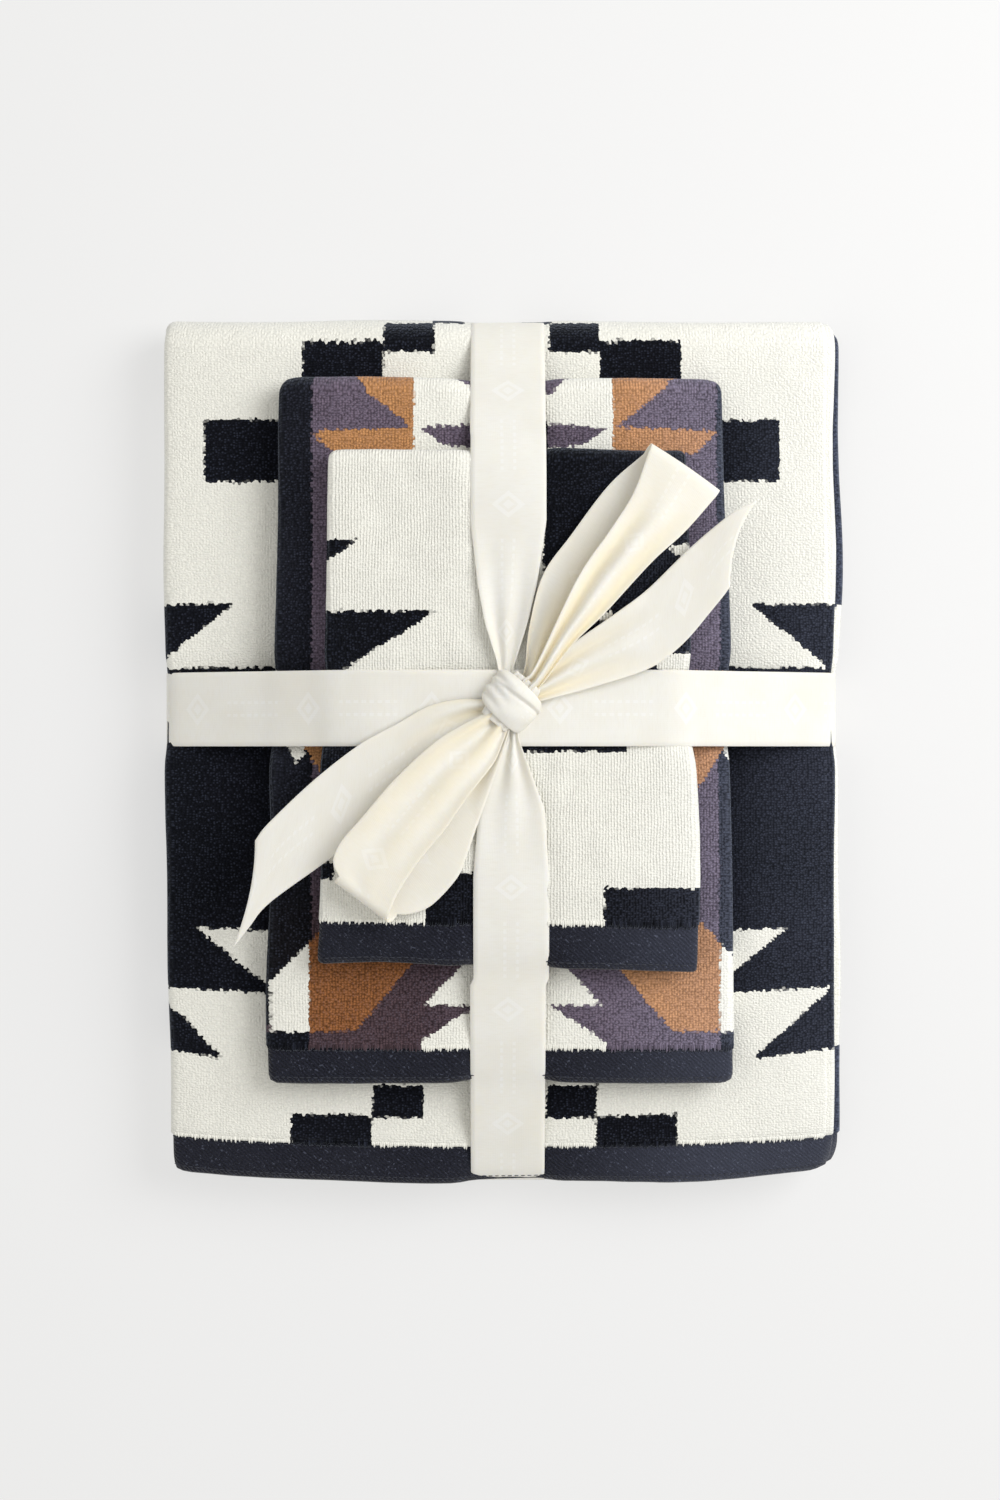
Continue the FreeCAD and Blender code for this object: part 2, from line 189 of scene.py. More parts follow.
def pushed_out(edge, inner, reach):
    """An edge of the sheet moved on, away from the row inside it."""
    step = edge - inner
    return edge + step / np.maximum(np.linalg.norm(step, axis=-1), 1e-9)[..., None] * reach


def thick_sheet(grid, uv, thick, lip=0.45):
    """Vertices, faces, uvs and front or back for a sheet with rounded edges all round.

    grid is the middle of the sheet, (nu, nv, 3), uv the cloth coordinates of each point.
    """
    nu, nv = grid.shape[:2]
    normal = grid_normals(grid)
    half = np.broadcast_to(np.asarray(thick, float) / 2, (nu, nv))[..., None]
    reach = half * 2 * lip
    wide = np.zeros((nu + 2, nv + 2, 3))
    wide[1:-1, 1:-1] = grid
    for edge, inner in ((0, 1), (-1, -2)):
        wide[edge, 1:-1] = pushed_out(grid[edge], grid[inner], reach[edge])
        wide[1:-1, edge] = pushed_out(grid[:, edge], grid[:, inner], reach[:, edge])
    for a, inner_a in ((0, 1), (-1, -2)):
        for b, inner_b in ((0, 1), (-1, -2)):
            wide[a, b] = (wide[a, inner_b] + wide[inner_a, b]) / 2
    uv_wide = np.pad(uv, ((1, 1), (1, 1), (0, 0)), mode="edge")
    front, back = wide.copy(), wide.copy()
    front[1:-1, 1:-1] = grid + normal * half
    back[1:-1, 1:-1] = grid - normal * half
    count = (nu + 2) * (nv + 2)
    front_id = np.arange(count).reshape(nu + 2, nv + 2)
    back_id = front_id.copy()
    back_id[1:-1, 1:-1] = count + np.arange(nu * nv).reshape(nu, nv)
    verts = np.concatenate([front.reshape(-1, 3), back[1:-1, 1:-1].reshape(-1, 3)])
    uvs = np.concatenate([uv_wide.reshape(-1, 2), uv.reshape(-1, 2)])
    quads = [quad_faces(front_id), quad_faces(back_id)[:, ::-1]]
    sides = [0] * len(quads[0]) + [1] * len(quads[1])
    return verts, np.concatenate(quads).tolist(), uvs, sides


def quad_faces(ids):
    return np.stack([ids[:-1, :-1], ids[1:, :-1], ids[1:, 1:], ids[:-1, 1:]], -1).reshape(-1, 4)


def ring(centre, side, up, corners):
    bends = [corner * 2 * math.pi / corners for corner in range(corners)]
    return [centre + side * math.cos(bend) + up * math.sin(bend) for bend in bends]


def tube_faces(base, rings, corners):
    """The sides of a tube of rings, and the face that closes its first ring."""
    faces = [tuple(base + corner for corner in reversed(range(corners)))]
    for ring in range(rings - 1):
        for corner in range(corners):
            a = base + ring * corners + corner
            b = base + ring * corners + (corner + 1) % corners
            faces.append((a, b, b + corners, a + corners))
    return faces


# ------ how the stack settles
NARROW_PRESS = RIBBON_WIDE * 0.42
LIGHT_PRESS = 0.5
EDGE_PRESS = 3.6
CROSS_AND_LONG_RISE = (1.1, 1.9)


def by_bands(x, y, reach, fade):
    """How far each point belongs to the crosswise and to the lengthwise band, from 0 to 1."""
    away = np.abs(np.stack([y - BAND_Y, x - BAND_X], -1))
    return 1 - smooth((away - reach) / fade)


class Towel:
    """One folded towel: its box, how its edges round off, and what it lies on."""

    def __init__(self, prefix, below, corner, edge_drop, seed, hem_out=0.0, side_out=0.0):
        low, high = box_mm(prefix + "_cloth")
        self.front = box_mm(prefix + "_top_hem")[0][1] - hem_out
        self.back = high[1]
        self.mid = np.array([(low[0] + high[0]) / 2 + side_out, (self.front + self.back) / 2])
        self.half = np.array([(high[0] - low[0]) / 2 + side_out, (self.back - self.front) / 2])
        self.base, self.high = low[2], high[2] - low[2]
        self.below, self.corner, self.edge_drop, self.seed = below, corner, edge_drop, seed
        self.taper, self.front_taper = (0.0, 0.0), (0.0, 0.0)
        self.bow, self.slant = 0.0, 0.0

    def own_shift(self, x, y, share):
        """How far a point at that share of the towel's height moves up or down."""
        flat = np.stack([x, y], -1)
        edge = np.maximum(self.half - np.abs(flat - self.mid), 0.0)
        drop = self.edge_drop * np.exp(-edge / 11).sum(-1)
        press = by_bands(x, y, NARROW_PRESS, 13) * (LIGHT_PRESS + EDGE_PRESS * np.exp(-edge / 13))
        press = press.max(-1)
        waves = 0.55 * wobble(flat, 95, self.seed) + 0.22 * wobble(flat, 24, self.seed + 1)
        return (waves - press) * share - drop * share ** 2

    def top_shift(self, x, y):
        """How far the top surface here, and those below it, have sunk in all."""
        shift = self.own_shift(x, y, 1.0)
        return shift if self.below is None else shift + self.below.top_shift(x, y)

    def tapered(self, x, y):
        """The towel is a little narrower toward one end, more so at one side than the other."""
        dx = x - self.mid[0]
        toward_back = np.clip((y - self.mid[1] + self.half[1]) / (2 * self.half[1]), 0, 1)
        outward = np.clip(np.abs(dx) / self.half[0], 0, 1)
        share = np.where(dx < 0, *self.taper) * toward_back
        share = share + np.where(dx < 0, *self.front_taper) * (1 - toward_back) ** 2
        return -np.sign(dx) * outward * share

    def over_bands(self, x, y, z):
        """How far the lowest layers rise to lie over the ribbon passing beneath them."""
        rise = by_bands(x, y, RIBBON_WIDE / 2 + 1.5, 12) * CROSS_AND_LONG_RISE
        return (1 - smooth((z - 4.0) / 22)) * rise.max(-1)

    def settle(self, points):
        """Folded points, still square and flat, moved to where soft cloth would lie."""
        x, y, z = points[..., 0], points[..., 1], points[..., 2]
        share = np.clip((z - self.base) / self.high, 0, 1)
        out = points.copy()
        flat = out[..., :2]
        away = flat - self.mid
        side, dx, dy = np.sign(away), away[..., 0], away[..., 1]
        # the corners, each with its own roundness
        corner = np.where(dy > 0, self.corner[0], np.where(dx < 0, self.corner[1], self.corner[2]))[..., None]
        inset = np.clip((np.abs(away) - self.half + corner) / corner, 0, 1.4)
        shrink = 1 - np.sqrt(1 - np.minimum(inset[..., ::-1], 1.2) ** 2 / 2.9)
        flat -= side * inset * corner * shrink
        # the ribbon draws the edges in, and no layer's edge is quite straight
        edge = np.exp(-np.maximum(self.half - np.abs(away), 0) / 9)
        flat -= side * edge * by_bands(x, y, NARROW_PRESS, 16) * 0.9
        out[..., 0] += self.tapered(x, y)
        toward_front = np.clip(-dy / self.half[1], 0, 1) ** 2
        out[..., 1] += self.bow * toward_front * (np.abs(dx) / self.half[0]) ** 2
        out[..., 1] += self.slant * toward_front * (1 - dx / self.half[0]) / 2
        layered = np.stack([x, y, z * 7], -1)
        uneven = np.stack([wobble(layered, 120, self.seed + 2), wobble(layered, 120, self.seed + 3)], -1)
        flat += edge * (0.8 * uneven - 0.5) * side
        out[..., 2] += self.own_shift(x, y, share)
        out[..., 2] += self.over_bands(x, y, z) if self.below is None else self.below.top_shift(x, y)
        return out


bath = Towel("bath_towel", None, (7, 8, 17), 2.2, 31, hem_out=1.5, side_out=2.0)
bath.bow, bath.front_taper = 7.0, (4.5, 0.0)
hand = Towel("hand_towel", bath, (10, 3.5, 5), 1.8, 52)
hand.taper, hand.front_taper = (9.5, 8.0), (2.5, 1.2)
wash = Towel("washcloth", hand, (4.5, 2.5, 2.0), 1.4, 73)
wash.taper, wash.slant = (7.0, 6.6), 3.5


# ------ node helpers
def by_math(operation):
    """A method that puts one math node on a channel."""
    return lambda self, other=None: self.nodes.math(operation, self, other)


class Channel:
    """A node socket's value, so that sums on it are written as sums."""

    def __init__(self, nodes, socket):
        self.nodes, self.socket = nodes, socket

    __add__ = by_math("ADD")
    __sub__ = by_math("SUBTRACT")
    __mul__ = by_math("MULTIPLY")
    __truediv__ = by_math("DIVIDE")
    __mod__ = by_math("MODULO")
    __abs__ = by_math("ABSOLUTE")
    sine = by_math("SINE")
    cosine = by_math("COSINE")
    larger = by_math("MAXIMUM")
    smaller = by_math("MINIMUM")

    def spread(self, low, high, out_low=0.0, out_high=1.0):
        """Eased from one range to another, and level beyond its ends."""
        return self.nodes.value("MapRange", {
            "Value": self, "From Min": low, "From Max": high, "To Min": out_low, "To Max": out_high,
        }, interpolation_type="SMOOTHSTEP")


class Nodes:
    """A material's node tree, with short ways to add to it."""

    def __init__(self, name):
        self.mat = bpy.data.materials.new(name)
        self.mat.use_nodes = True
        self.tree = self.mat.node_tree
        self.tree.nodes.clear()
        output = self.tree.nodes.new("ShaderNodeOutputMaterial")
        self.shader = self.tree.nodes.new("ShaderNodeBsdfPrincipled")
        self.tree.links.new(self.shader.outputs[0], output.inputs[0])

    def put(self, socket, value):
        if isinstance(value, Channel):
            self.tree.links.new(value.socket, socket)
        elif value is not None:
            socket.default_value = value

    def add(self, kind, inputs, **settings):
        """A node with its settings, and its inputs linked or set by name or number."""
        node = self.tree.nodes.new("ShaderNode" + kind)
        for key, value in settings.items():
            setattr(node, key, value)
        for key, value in inputs.items():
            self.put(node.inputs[key], value)
        return node

    def value(self, kind, inputs, output=0, **settings):
        return Channel(self, self.add(kind, inputs, **settings).outputs[output])

    def math(self, operation, a, b=None):
        return self.value("Math", {0: a, 1: b}, operation=operation)

    def combine(self, x, y, z):
        return self.value("CombineXYZ", {0: x, 1: y, 2: z})

    def split(self, vector):
        outputs = self.add("SeparateXYZ", {0: vector}).outputs
        return Channel(self, outputs[0]), Channel(self, outputs[1])

    def cloth_mm(self):
        """The flat cloth's coordinates across and along, in millimetres."""
        cloth = self.value("UVMap", {}, uv_map="cloth")
        return self.split(self.value("VectorMath", {0: cloth, "Scale": 1 / UV_PER_MM}, operation="SCALE"))

    def noise(self, place, scale, detail=2.0, rough=0.5):
        return self.value("TexNoise", {
            "Vector": self.combine(*place), "Scale": scale, "Detail": detail, "Roughness": rough,
        }, "Fac")

    def mix(self, share, a, b, blend="MIX"):
        node = self.add("Mix", {}, data_type="RGBA", blend_type=blend)
        self.put(node.inputs["Factor"], share)
        colours = [s for s in node.inputs if s.type == "RGBA"]
        self.put(colours[0], a)
        self.put(colours[1], b)
        return Channel(self, [s for s in node.outputs if s.type == "RGBA"][0])

    def bump(self, height, strength, distance):
        return self.value("Bump", {"Strength": strength, "Distance": distance, "Height": height})

    def inside(self, polygons, place):
        """Signed distance in millimetres to the nearest polygon, negative inside it."""
        nearest = None
        for polygon in polygons:
            depth = None
            sides = list(zip(polygon, polygon[1:] + polygon[:1]))
            turn = 1 if sum(a[0] * b[1] - b[0] * a[1] for a, b in sides) > 0 else -1
            for a, b in sides:
                edge = np.array([b[1] - a[1], a[0] - b[0]]) * turn
                edge = edge / np.linalg.norm(edge)
                plane = (edge[0], edge[1], -float(edge @ a))
                side = self.value("VectorMath", {0: place, 1: plane}, "Value", operation="DOT_PRODUCT")
                depth = side if depth is None else depth.larger(side)
            nearest = depth if nearest is None else nearest.smaller(depth)
        return nearest

    def surface(self, colour, normal, settings):
        """Fills in the shader's own sockets and hands back the material."""
        for key, value in {"Base Color": colour, "Normal": normal, **settings}.items():
            self.put(self.shader.inputs[key], value)
        return self.mat


def srgb(red, green, blue):
    def linear(value):
        value /= 255
        return value / 12.92 if value <= 0.04045 else ((value + 0.055) / 1.055) ** 2.4
    return (linear(red), linear(green), linear(blue), 1.0)


CREAM = srgb(252, 251, 242)
NIGHT = srgb(14, 15, 22)
SLATE = srgb(27, 28, 36)
# the reverse's dark yarn, painted paler and bluer than NIGHT as painted light on the turned-under right edge,
# which faces the lamp
PAINTED_LIT_REVERSE_DARK = srgb(52, 57, 72)
PLUM = srgb(110, 98, 114)
TAN = srgb(196, 142, 94)
# pale blue-grey added to pile and hem toward the right as painted light, where the lamp stands
PAINTED_LIGHT_RIGHT_SIDE = (0.055, 0.062, 0.088, 1.0)
# multiplies tan and plum at the hand towel's lower left as painted shade
PAINTED_SHADE_LOWER_LEFT = (0.56, 0.45, 0.38, 1.0)
RIB = 1.5
TUFT_ROW = 1.25
RIB_WANDER = 1.6
DESIGN_SOFT = 0.25
PRINT_REPEAT = 64.0
DASH_REPEAT = 4.0


# ------ the woven designs
# Outlines in millimetres on the flat cloth: across from the design's middle line, and along
# from the folded towel's middle. The bath and hand towels' are the same on both sides of that line.
def rect(left, bottom, right, top):
    return [(left, bottom), (right, bottom), (right, top), (left, top)]


BATH_NIGHT = [
    rect(15, 222, 31, 240),
    rect(30, 206, 56, 222),
    rect(56, 176, 98, 211),
    rect(98, 139, 149, 171),
    [(133, 76), (195, 75), (195, 27)],
    [(98, -127.5), (200, -124), (200, 43), (98, 43)],
    [(190, -112), (190, -157), (137, -162)],
    rect(32, -191, 58, -174),
    rect(58, -210, 100, -190),
]
BATH_LIGHT_ON_NIGHT = [[(153, -93), (80, -95), (80, -152)]]


def painted(nodes, place, colour, *layers):
    """Each layer's colour laid over the last, inside the layer's polygons."""
    for paint, polygons in layers:
        share = nodes.inside(polygons, place).spread(DESIGN_SOFT, -DESIGN_SOFT)
        colour = nodes.mix(share, colour, paint)
    return colour


def bath_design(nodes, column, row, light=CREAM, dark=NIGHT):
    # the weave drifts a little to the left toward the front end
    column = column + row.spread(-120, -195) * 4.0
    place = nodes.combine(abs(column), row, 1.0)
    return painted(nodes, place, light, (dark, BATH_NIGHT), (light, BATH_LIGHT_ON_NIGHT))


def bath_reverse_design(nodes, column, row):
    return bath_design(nodes, column, row, PAINTED_LIT_REVERSE_DARK, CREAM)


def hand_design(nodes, column, row):
    # the weave runs a little wider on the right of the middle line than on the left
    place = nodes.combine((column * 0.968).larger(column * -1.0), row, 1.0)
    colour = painted(
        nodes, place, PLUM,
        (CREAM, [rect(-2, 150, 51, 200), rect(-2, -150, 20, -100)]),
        (PLUM, [
            [(-1, 206), (31, 206), (31, 190), (20, 181.5), (-1, 181.5)],
            [(-1, 166), (48, 164), (34, 154.5), (-1, 152)],
        ]),
        (NIGHT, [rect(-2, 151, 18, 167)]),
        (TAN, [
            [(50, 205), (96, 205), (84, 190), (50, 163)],
            [(50, 164), (103, 162), (90, 150), (50, 150)],
        ]),
        (SLATE, [rect(102, -140, 140, 210)]),
        (TAN, [
            [(103, -98), (94, -88), (33, -88), (79, -142.5), (103, -143)],
            [(60, 40), (105.5, 40), (105.5, 1), (92, -19), (60, -19)],
        ]))
    # painted shade: toward the lower left the tan and plum are darkened, where the light falls off
    deep = column.spread(30, -60) * row.spread(-40, -95)
    colour = nodes.mix(deep, colour, PAINTED_SHADE_LOWER_LEFT, "MULTIPLY")
    return painted(
        nodes, place, colour,
        (CREAM, [
            [(103, -98), (103, -143.5), (122, -143.5), (122, -117)],
            [(105.5, 40), (105.5, -3), (110, -6.5), (124, 20), (124, 40)],
            [(15, -100), (22, -105), (44, -129.5), (15, -129.5)],
            [(15, -131), (24, -133), (46, -148), (46, -152), (15, -152)],
        ]),
        (NIGHT, [rect(103, -160, 130, -143.5)]))


def wash_design(nodes, column, row):
    return painted(
        nodes, nodes.combine(column, row, 1.0), CREAM,
        (NIGHT, [
            rect(22, 49, 110, 200),
            [(-100, 106), (-71.5, 105), (-83.5, 96.5), (-100, 84)],
            [(-100, 69.5), (-100, 27.5), (-31.5, 69.5)],
            [(57, 32), (88, 32), (76, 46)],
            rect(8, -1, 64, 12),
            rect(-100, -26, -50, 12),
            rect(52, -90, 110, -69),
            rect(-37, -90, 6, -62),
            rect(-100, -66, -84, -57),
            [(35, 49), (60, 49), (40, 30), (20, 30)],
        ]),
        (CREAM, [
            [(84, 101.5), (100, 104), (100, 98), (92, 95.5)],
            rect(50, 64, 57, 69.5),
        ]))


# ------ materials
def pile_material(name, design, groove=0.10, painted_light_span=(30, 130, 0, 0.54)):
    """Velour pile: each tuft takes one colour of the woven design, in ribs along the cloth."""
    nodes = Nodes(name)
    across, along = nodes.cloth_mm()
    wander = nodes.noise((across * 0.1, along * 0.05, 0.0), 1.0) * RIB_WANDER
    shifted = across + wander
    tufts = nodes.add("TexVoronoi", {
        "Vector": nodes.combine(shifted / RIB, along / TUFT_ROW, 0.0), "Scale": 1.0, "Randomness": 0.72,
    }, voronoi_dimensions="2D").outputs
    tuft_x, tuft_y = nodes.split(Channel(nodes, tufts["Position"]))
    chance, chance_too = nodes.split(Channel(nodes, tufts["Color"]))
    gap = Channel(nodes, tufts["Distance"])
    column = tuft_x * RIB - wander
    row = tuft_y * TUFT_ROW + chance * 1.5 - 0.75
    colour = design(nodes, column, row)

    ridge = (shifted * (2 * math.pi / RIB)).cosine() * 0.5 + 0.5
    fibre = nodes.noise((across, along * 0.6, 4.0), 4.0, 2.0, 0.6)
    cloud = nodes.noise((across, along, 7.0), 0.02, 3.0)
    contrast = nodes.value("RGBToBW", {0: colour}).spread(0.0, 0.75, 2.6, 0.38)
    # painted shade in the gaps between tufts and in the grooves between ribs, times random tone from tuft to
    # tuft and in soft clouds
    shade = gap.spread(0.05, 0.75, 1.08, 0.80) * (ridge * groove + (1.0 - groove))
    shade = shade * (chance_too * 0.14 + 0.91)
    shade = shade * fibre.spread(0.25, 0.75, 0.88, 1.10) * cloud.spread(0.3, 0.7, 0.96, 1.04)
    shade = (shade - 0.93) * contrast + 0.96
    grey = nodes.value("CombineColor", {0: shade, 1: shade, 2: shade})
    colour = nodes.mix(1.0, colour, grey, "MULTIPLY")
    # painted sheen: pale blue-grey glints on the tops of some tufts
    painted_tip_sheen = chance.spread(0.25, 1.0) * gap.spread(0.5, 0.1)
    colour = nodes.mix(painted_tip_sheen * 0.10, colour, srgb(132, 142, 172))
    speck = fibre.spread(0.68, 0.78) * ridge.spread(0.45, 0.05)
    colour = nodes.mix(speck * 0.16, colour, srgb(110, 104, 100))
    # painted light: toward the right, where the lamp stands, a pale blue-grey is added to the pile, following
    # its tuft shading
    colour = nodes.mix(column.spread(*painted_light_span) * shade, colour, PAINTED_LIGHT_RIGHT_SIDE, "ADD")
    height = ridge * (groove * 4) - gap + fibre * 0.5
    return nodes.surface(colour, nodes.bump(height, 0.8, 0.0007), {
        "Roughness": 0.95, "Specular IOR Level": 0.03,
        "Sheen Weight": 0.26, "Sheen Roughness": 0.45, "Sheen Tint": (0.75, 0.84, 1.0, 1.0),
    })


def hem_material():
    """Flat hem: fine diagonal twill, mottled, with light flecks."""
    nodes = Nodes("hem_weave")
    across, along = nodes.cloth_mm()
    drift = nodes.noise((across, along, 8.0), 0.35) * 2.4
    twill = ((across + along * 1.1 + drift) * 2.6).sine()
    weft = (along * 9.0).sine()
    grain = nodes.noise((across, along, 2.0), 1.6, 3.0, 0.7)
    cloud = nodes.noise((across, along, 5.0), 0.03)
    fleck = nodes.noise((across, along, 11.0), 0.85, 1.5).spread(0.63, 0.72)
    mottle = nodes.noise((across, along, 14.0), 0.5, 3.0, 0.75).spread(0.3, 0.7, 0.0, 1.1)
    colour = nodes.mix(grain.spread(0.3, 0.7), srgb(12, 13, 19), srgb(36, 37, 49))
    colour = nodes.mix((twill * 0.22 + 0.3) * grain.spread(0.3, 0.65), colour, srgb(62, 66, 82))
    colour = nodes.mix(cloud.spread(0.35, 0.65, 0.0, 0.25), colour, srgb(44, 46, 57))
    colour = nodes.mix(fleck * 0.4, colour, srgb(120, 126, 146))
    colour = nodes.mix(mottle, nodes.mix(1.0, colour, (0.66, 0.66, 0.68, 1.0), "MULTIPLY"), colour)
    # painted light: a pale blue-grey added toward the right, where the lamp stands
    colour = nodes.mix(across.spread(20, 130, 0.0, 0.6), colour, PAINTED_LIGHT_RIGHT_SIDE, "ADD")
    height = twill * 0.35 + weft * 0.2 + grain * 0.8
    return nodes.surface(colour, nodes.bump(height, 0.8, 0.0006), {
        "Roughness": 0.85, "Specular IOR Level": 0.08, "Sheen Weight": 0.26, "Sheen Roughness": 0.4,
    })


def thread_material():
    nodes = Nodes("hem_thread")
    grain = nodes.noise((*nodes.cloth_mm(), 0.0), 2.0)
    colour = nodes.mix(grain, srgb(24, 26, 34), srgb(58, 62, 76))
    return nodes.surface(colour, nodes.bump(grain, 0.4, 0.0002), {"Roughness": 0.6})


def label_material():
    nodes = Nodes("label_tape")
    across, along = nodes.cloth_mm()
    grain = nodes.noise((across, along, 0.0), 1.5)
    colour = nodes.mix(grain, srgb(226, 226, 222), srgb(244, 243, 238))
    return nodes.surface(colour, nodes.bump((along * 12.0).sine(), 0.2, 0.0002), {"Roughness": 0.7})


def satin_material():
    """Off-white satin ribbon: fine crosswise ribs, woven edges, and a pale print of lozenges."""
    nodes = Nodes("satin_ribbon")
    across, along = nodes.cloth_mm()
    weft = (along * 11.0).sine()
    warp = (across * 7.0).sine()
    slub = nodes.noise((across * 0.15, along, 0.0), 1.2)
    cloud = nodes.noise((across, along, 3.0), 0.04)
    colour = nodes.mix(cloud.spread(0.3, 0.7), srgb(239, 235, 224), srgb(243, 240, 231))
    colour = nodes.mix(slub.spread(0.4, 0.75) * 0.25, colour, srgb(234, 228, 212))
    # the print: a lozenge in each repeat and dashes between them, with no lettering
    run = along + 100 * PRINT_REPEAT
    from_middle = abs(run % PRINT_REPEAT - PRINT_REPEAT / 2)
    span = from_middle + abs(across) * 0.8
    ring = abs(span - 5.5).spread(1.5, 1.1)
    heart = span.spread(2.6, 2.2)
    dash_row = abs(abs(across) - 3.2).spread(0.9, 0.6)
    beat = abs(run % DASH_REPEAT - DASH_REPEAT / 2).spread(1.3, 1.0)
    printed = ring.larger(heart).larger(dash_row * beat * from_middle.spread(17.0, 17.6))
    colour = nodes.mix(printed * 0.32, colour, srgb(251, 250, 247))
    edge = abs(across).spread(17.6, 18.3)
    colour = nodes.mix(edge * 0.35, colour, srgb(246, 242, 233))
    # painted shade and reflected light: the satin is given a warm colour deep in its folds, where it throws
    # its own colour back and forth between the walls of a fold
    fold = nodes.value("Attribute", {}, "Fac", attribute_name=PAINTED_FOLD_SHADE)
    colour = nodes.mix(fold, colour, srgb(242, 227, 190))
    height = weft * 0.3 + warp * 0.12 + slub * 0.5
    return nodes.surface(colour, nodes.bump(height, 0.25, 0.00025), {
        "Roughness": printed * 0.12 + 0.6, "Specular IOR Level": 0.12,
        "Sheen Weight": 0.08, "Sheen Roughness": 0.35,
        "Subsurface Weight": 0.18, "Subsurface Radius": (1.0, 0.72, 0.38), "Subsurface Scale": 0.003,
    })


# each towel's span for the painted light toward the right: where it starts and ends, in mm across, and how
# strong it grows
MATS = {
    "bath": pile_material("bath_towel_pile", bath_design, groove=0.05, painted_light_span=(85, 175, 0, 0.42)),
    "bath_reverse": pile_material("bath_towel_pile_reverse", bath_reverse_design, groove=0.05),
    "hand": pile_material("hand_towel_pile", hand_design, painted_light_span=(20, 115, 0, 0.9)),
    "wash": pile_material("washcloth_pile", wash_design, groove=0.17),
    "hem": hem_material(),
    "thread": thread_material(),
    "satin": satin_material(),
    "label": label_material(),
}


# ------ folding a sheet
class Fold:
    """A sheet folded across its width into a slab, and then the slab folded along its length."""

    def __init__(self, towel, u_start, u_parts, v_start, v_parts, flip=False):
        self.towel, self.flip = towel, flip
        self.u_start, self.u_parts = u_start, u_parts
        self.v_start, self.v_parts = v_start, v_parts
        self.width = sum(length for length, _ in u_parts)
        self.length = sum(length for length, _ in v_parts)

    def points(self, u, v):
        """The settled middle of the sheet at the given flat widths and lengths."""
        cross, _ = trace(self.u_start, math.pi, self.u_parts, u)
        path, angle = trace(self.v_start, 0.0, self.v_parts, v)
        lift = np.stack([-np.sin(angle), np.cos(angle)], 1)
        grid = np.zeros((len(u), len(v), 3))
        grid[..., 0] = cross[:, None, 0]
        grid[..., 1] = path[None, :, 0] + cross[:, None, 1] * lift[None, :, 0]
        grid[..., 2] = path[None, :, 1] + cross[:, None, 1] * lift[None, :, 1]
        return self.towel.settle(grid)


def mirrored(values, turn):
    """The design runs on past its fold as its own mirror image."""
    return turn - np.abs(np.mod(values, 2 * turn) - turn)


def on_stack(obj, nodes=()):
    """The piece rides on the tied stack and the CAD nodes that it stands for."""
    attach(obj, STACK)
    if nodes:
        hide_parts(*nodes)


def lay(name, fold, u, v, thick, mats, design, nodes=()):
    grid = fold.points(u, v)
    shown_u = u
    if fold.flip:
        grid, shown_u = grid[::-1], u[::-1]
    uv = np.stack(np.meshgrid(design[0](shown_u), design[1](v), indexing="ij"), -1)
    # a tapered edge cuts the design off instead of squeezing it
    shift = fold.towel.tapered(grid[..., 0], grid[..., 1])
    ways = np.sign(np.gradient(uv[..., 0], axis=0)) * np.sign(np.gradient(grid[..., 0], axis=0))
    uv[..., 0] += shift * ways
    verts, faces, uvs, sides = thick_sheet(grid, uv, thick)
    obj = new_object(name, verts, faces, mats, uvs, sides if len(mats) > 1 else None)
    on_stack(obj, nodes)
    return obj


STITCH_PITCH = 3.4
STITCH_LONG = 2.5
STITCH_RADIUS = 0.32
STITCH_SHAPE = ((0.0, 0.35), (0.2, 1.0), (0.8, 1.0), (1.0, 0.35))


def stitch_rows(name, fold, rows, inset, lift, design, nodes):
    """Rows of short stitches standing just proud of a hem."""
    verts, faces, uvs = [], [], []
    starts = np.arange(inset, fold.width - inset, STITCH_PITCH)
    u = np.sort(np.concatenate([starts, starts + STITCH_LONG]))
    corners = 6
    for row in rows:
        grid = fold.points(u, np.array([row - 0.6, row, row + 0.6]))
        normal = grid_normals(grid)[:, 1] * (-1 if fold.flip else 1)
        ends = grid[:, 1] + normal * lift
        aside = grid[:, 2] - grid[:, 0]
        aside /= np.linalg.norm(aside, axis=1)[:, None]
        for k in range(0, len(u), 2):
            base = len(verts)
            place = design[0](u[k:k + 1])[0]
            for share, size in STITCH_SHAPE:
                rise = normal[k] * (0.28 * math.sin(math.pi * share) - 0.12)
                centre = ends[k] + (ends[k + 1] - ends[k]) * share + rise
                radius = STITCH_RADIUS * size
                verts += ring(centre, aside[k] * radius, normal[k] * radius, corners)
                uvs += [(place + corner * 0.2, row + share) for corner in range(corners)]
            faces += tube_faces(base, len(STITCH_SHAPE), corners)
            faces.append(tuple(len(verts) - corners + corner for corner in range(corners)))
    on_stack(new_object(name, np.array(verts), faces, [MATS["thread"]], np.array(uvs)), nodes)


TUFT_PITCH = 1.05
TUFT_SIZES = (0.72, 0.68, 0.46)


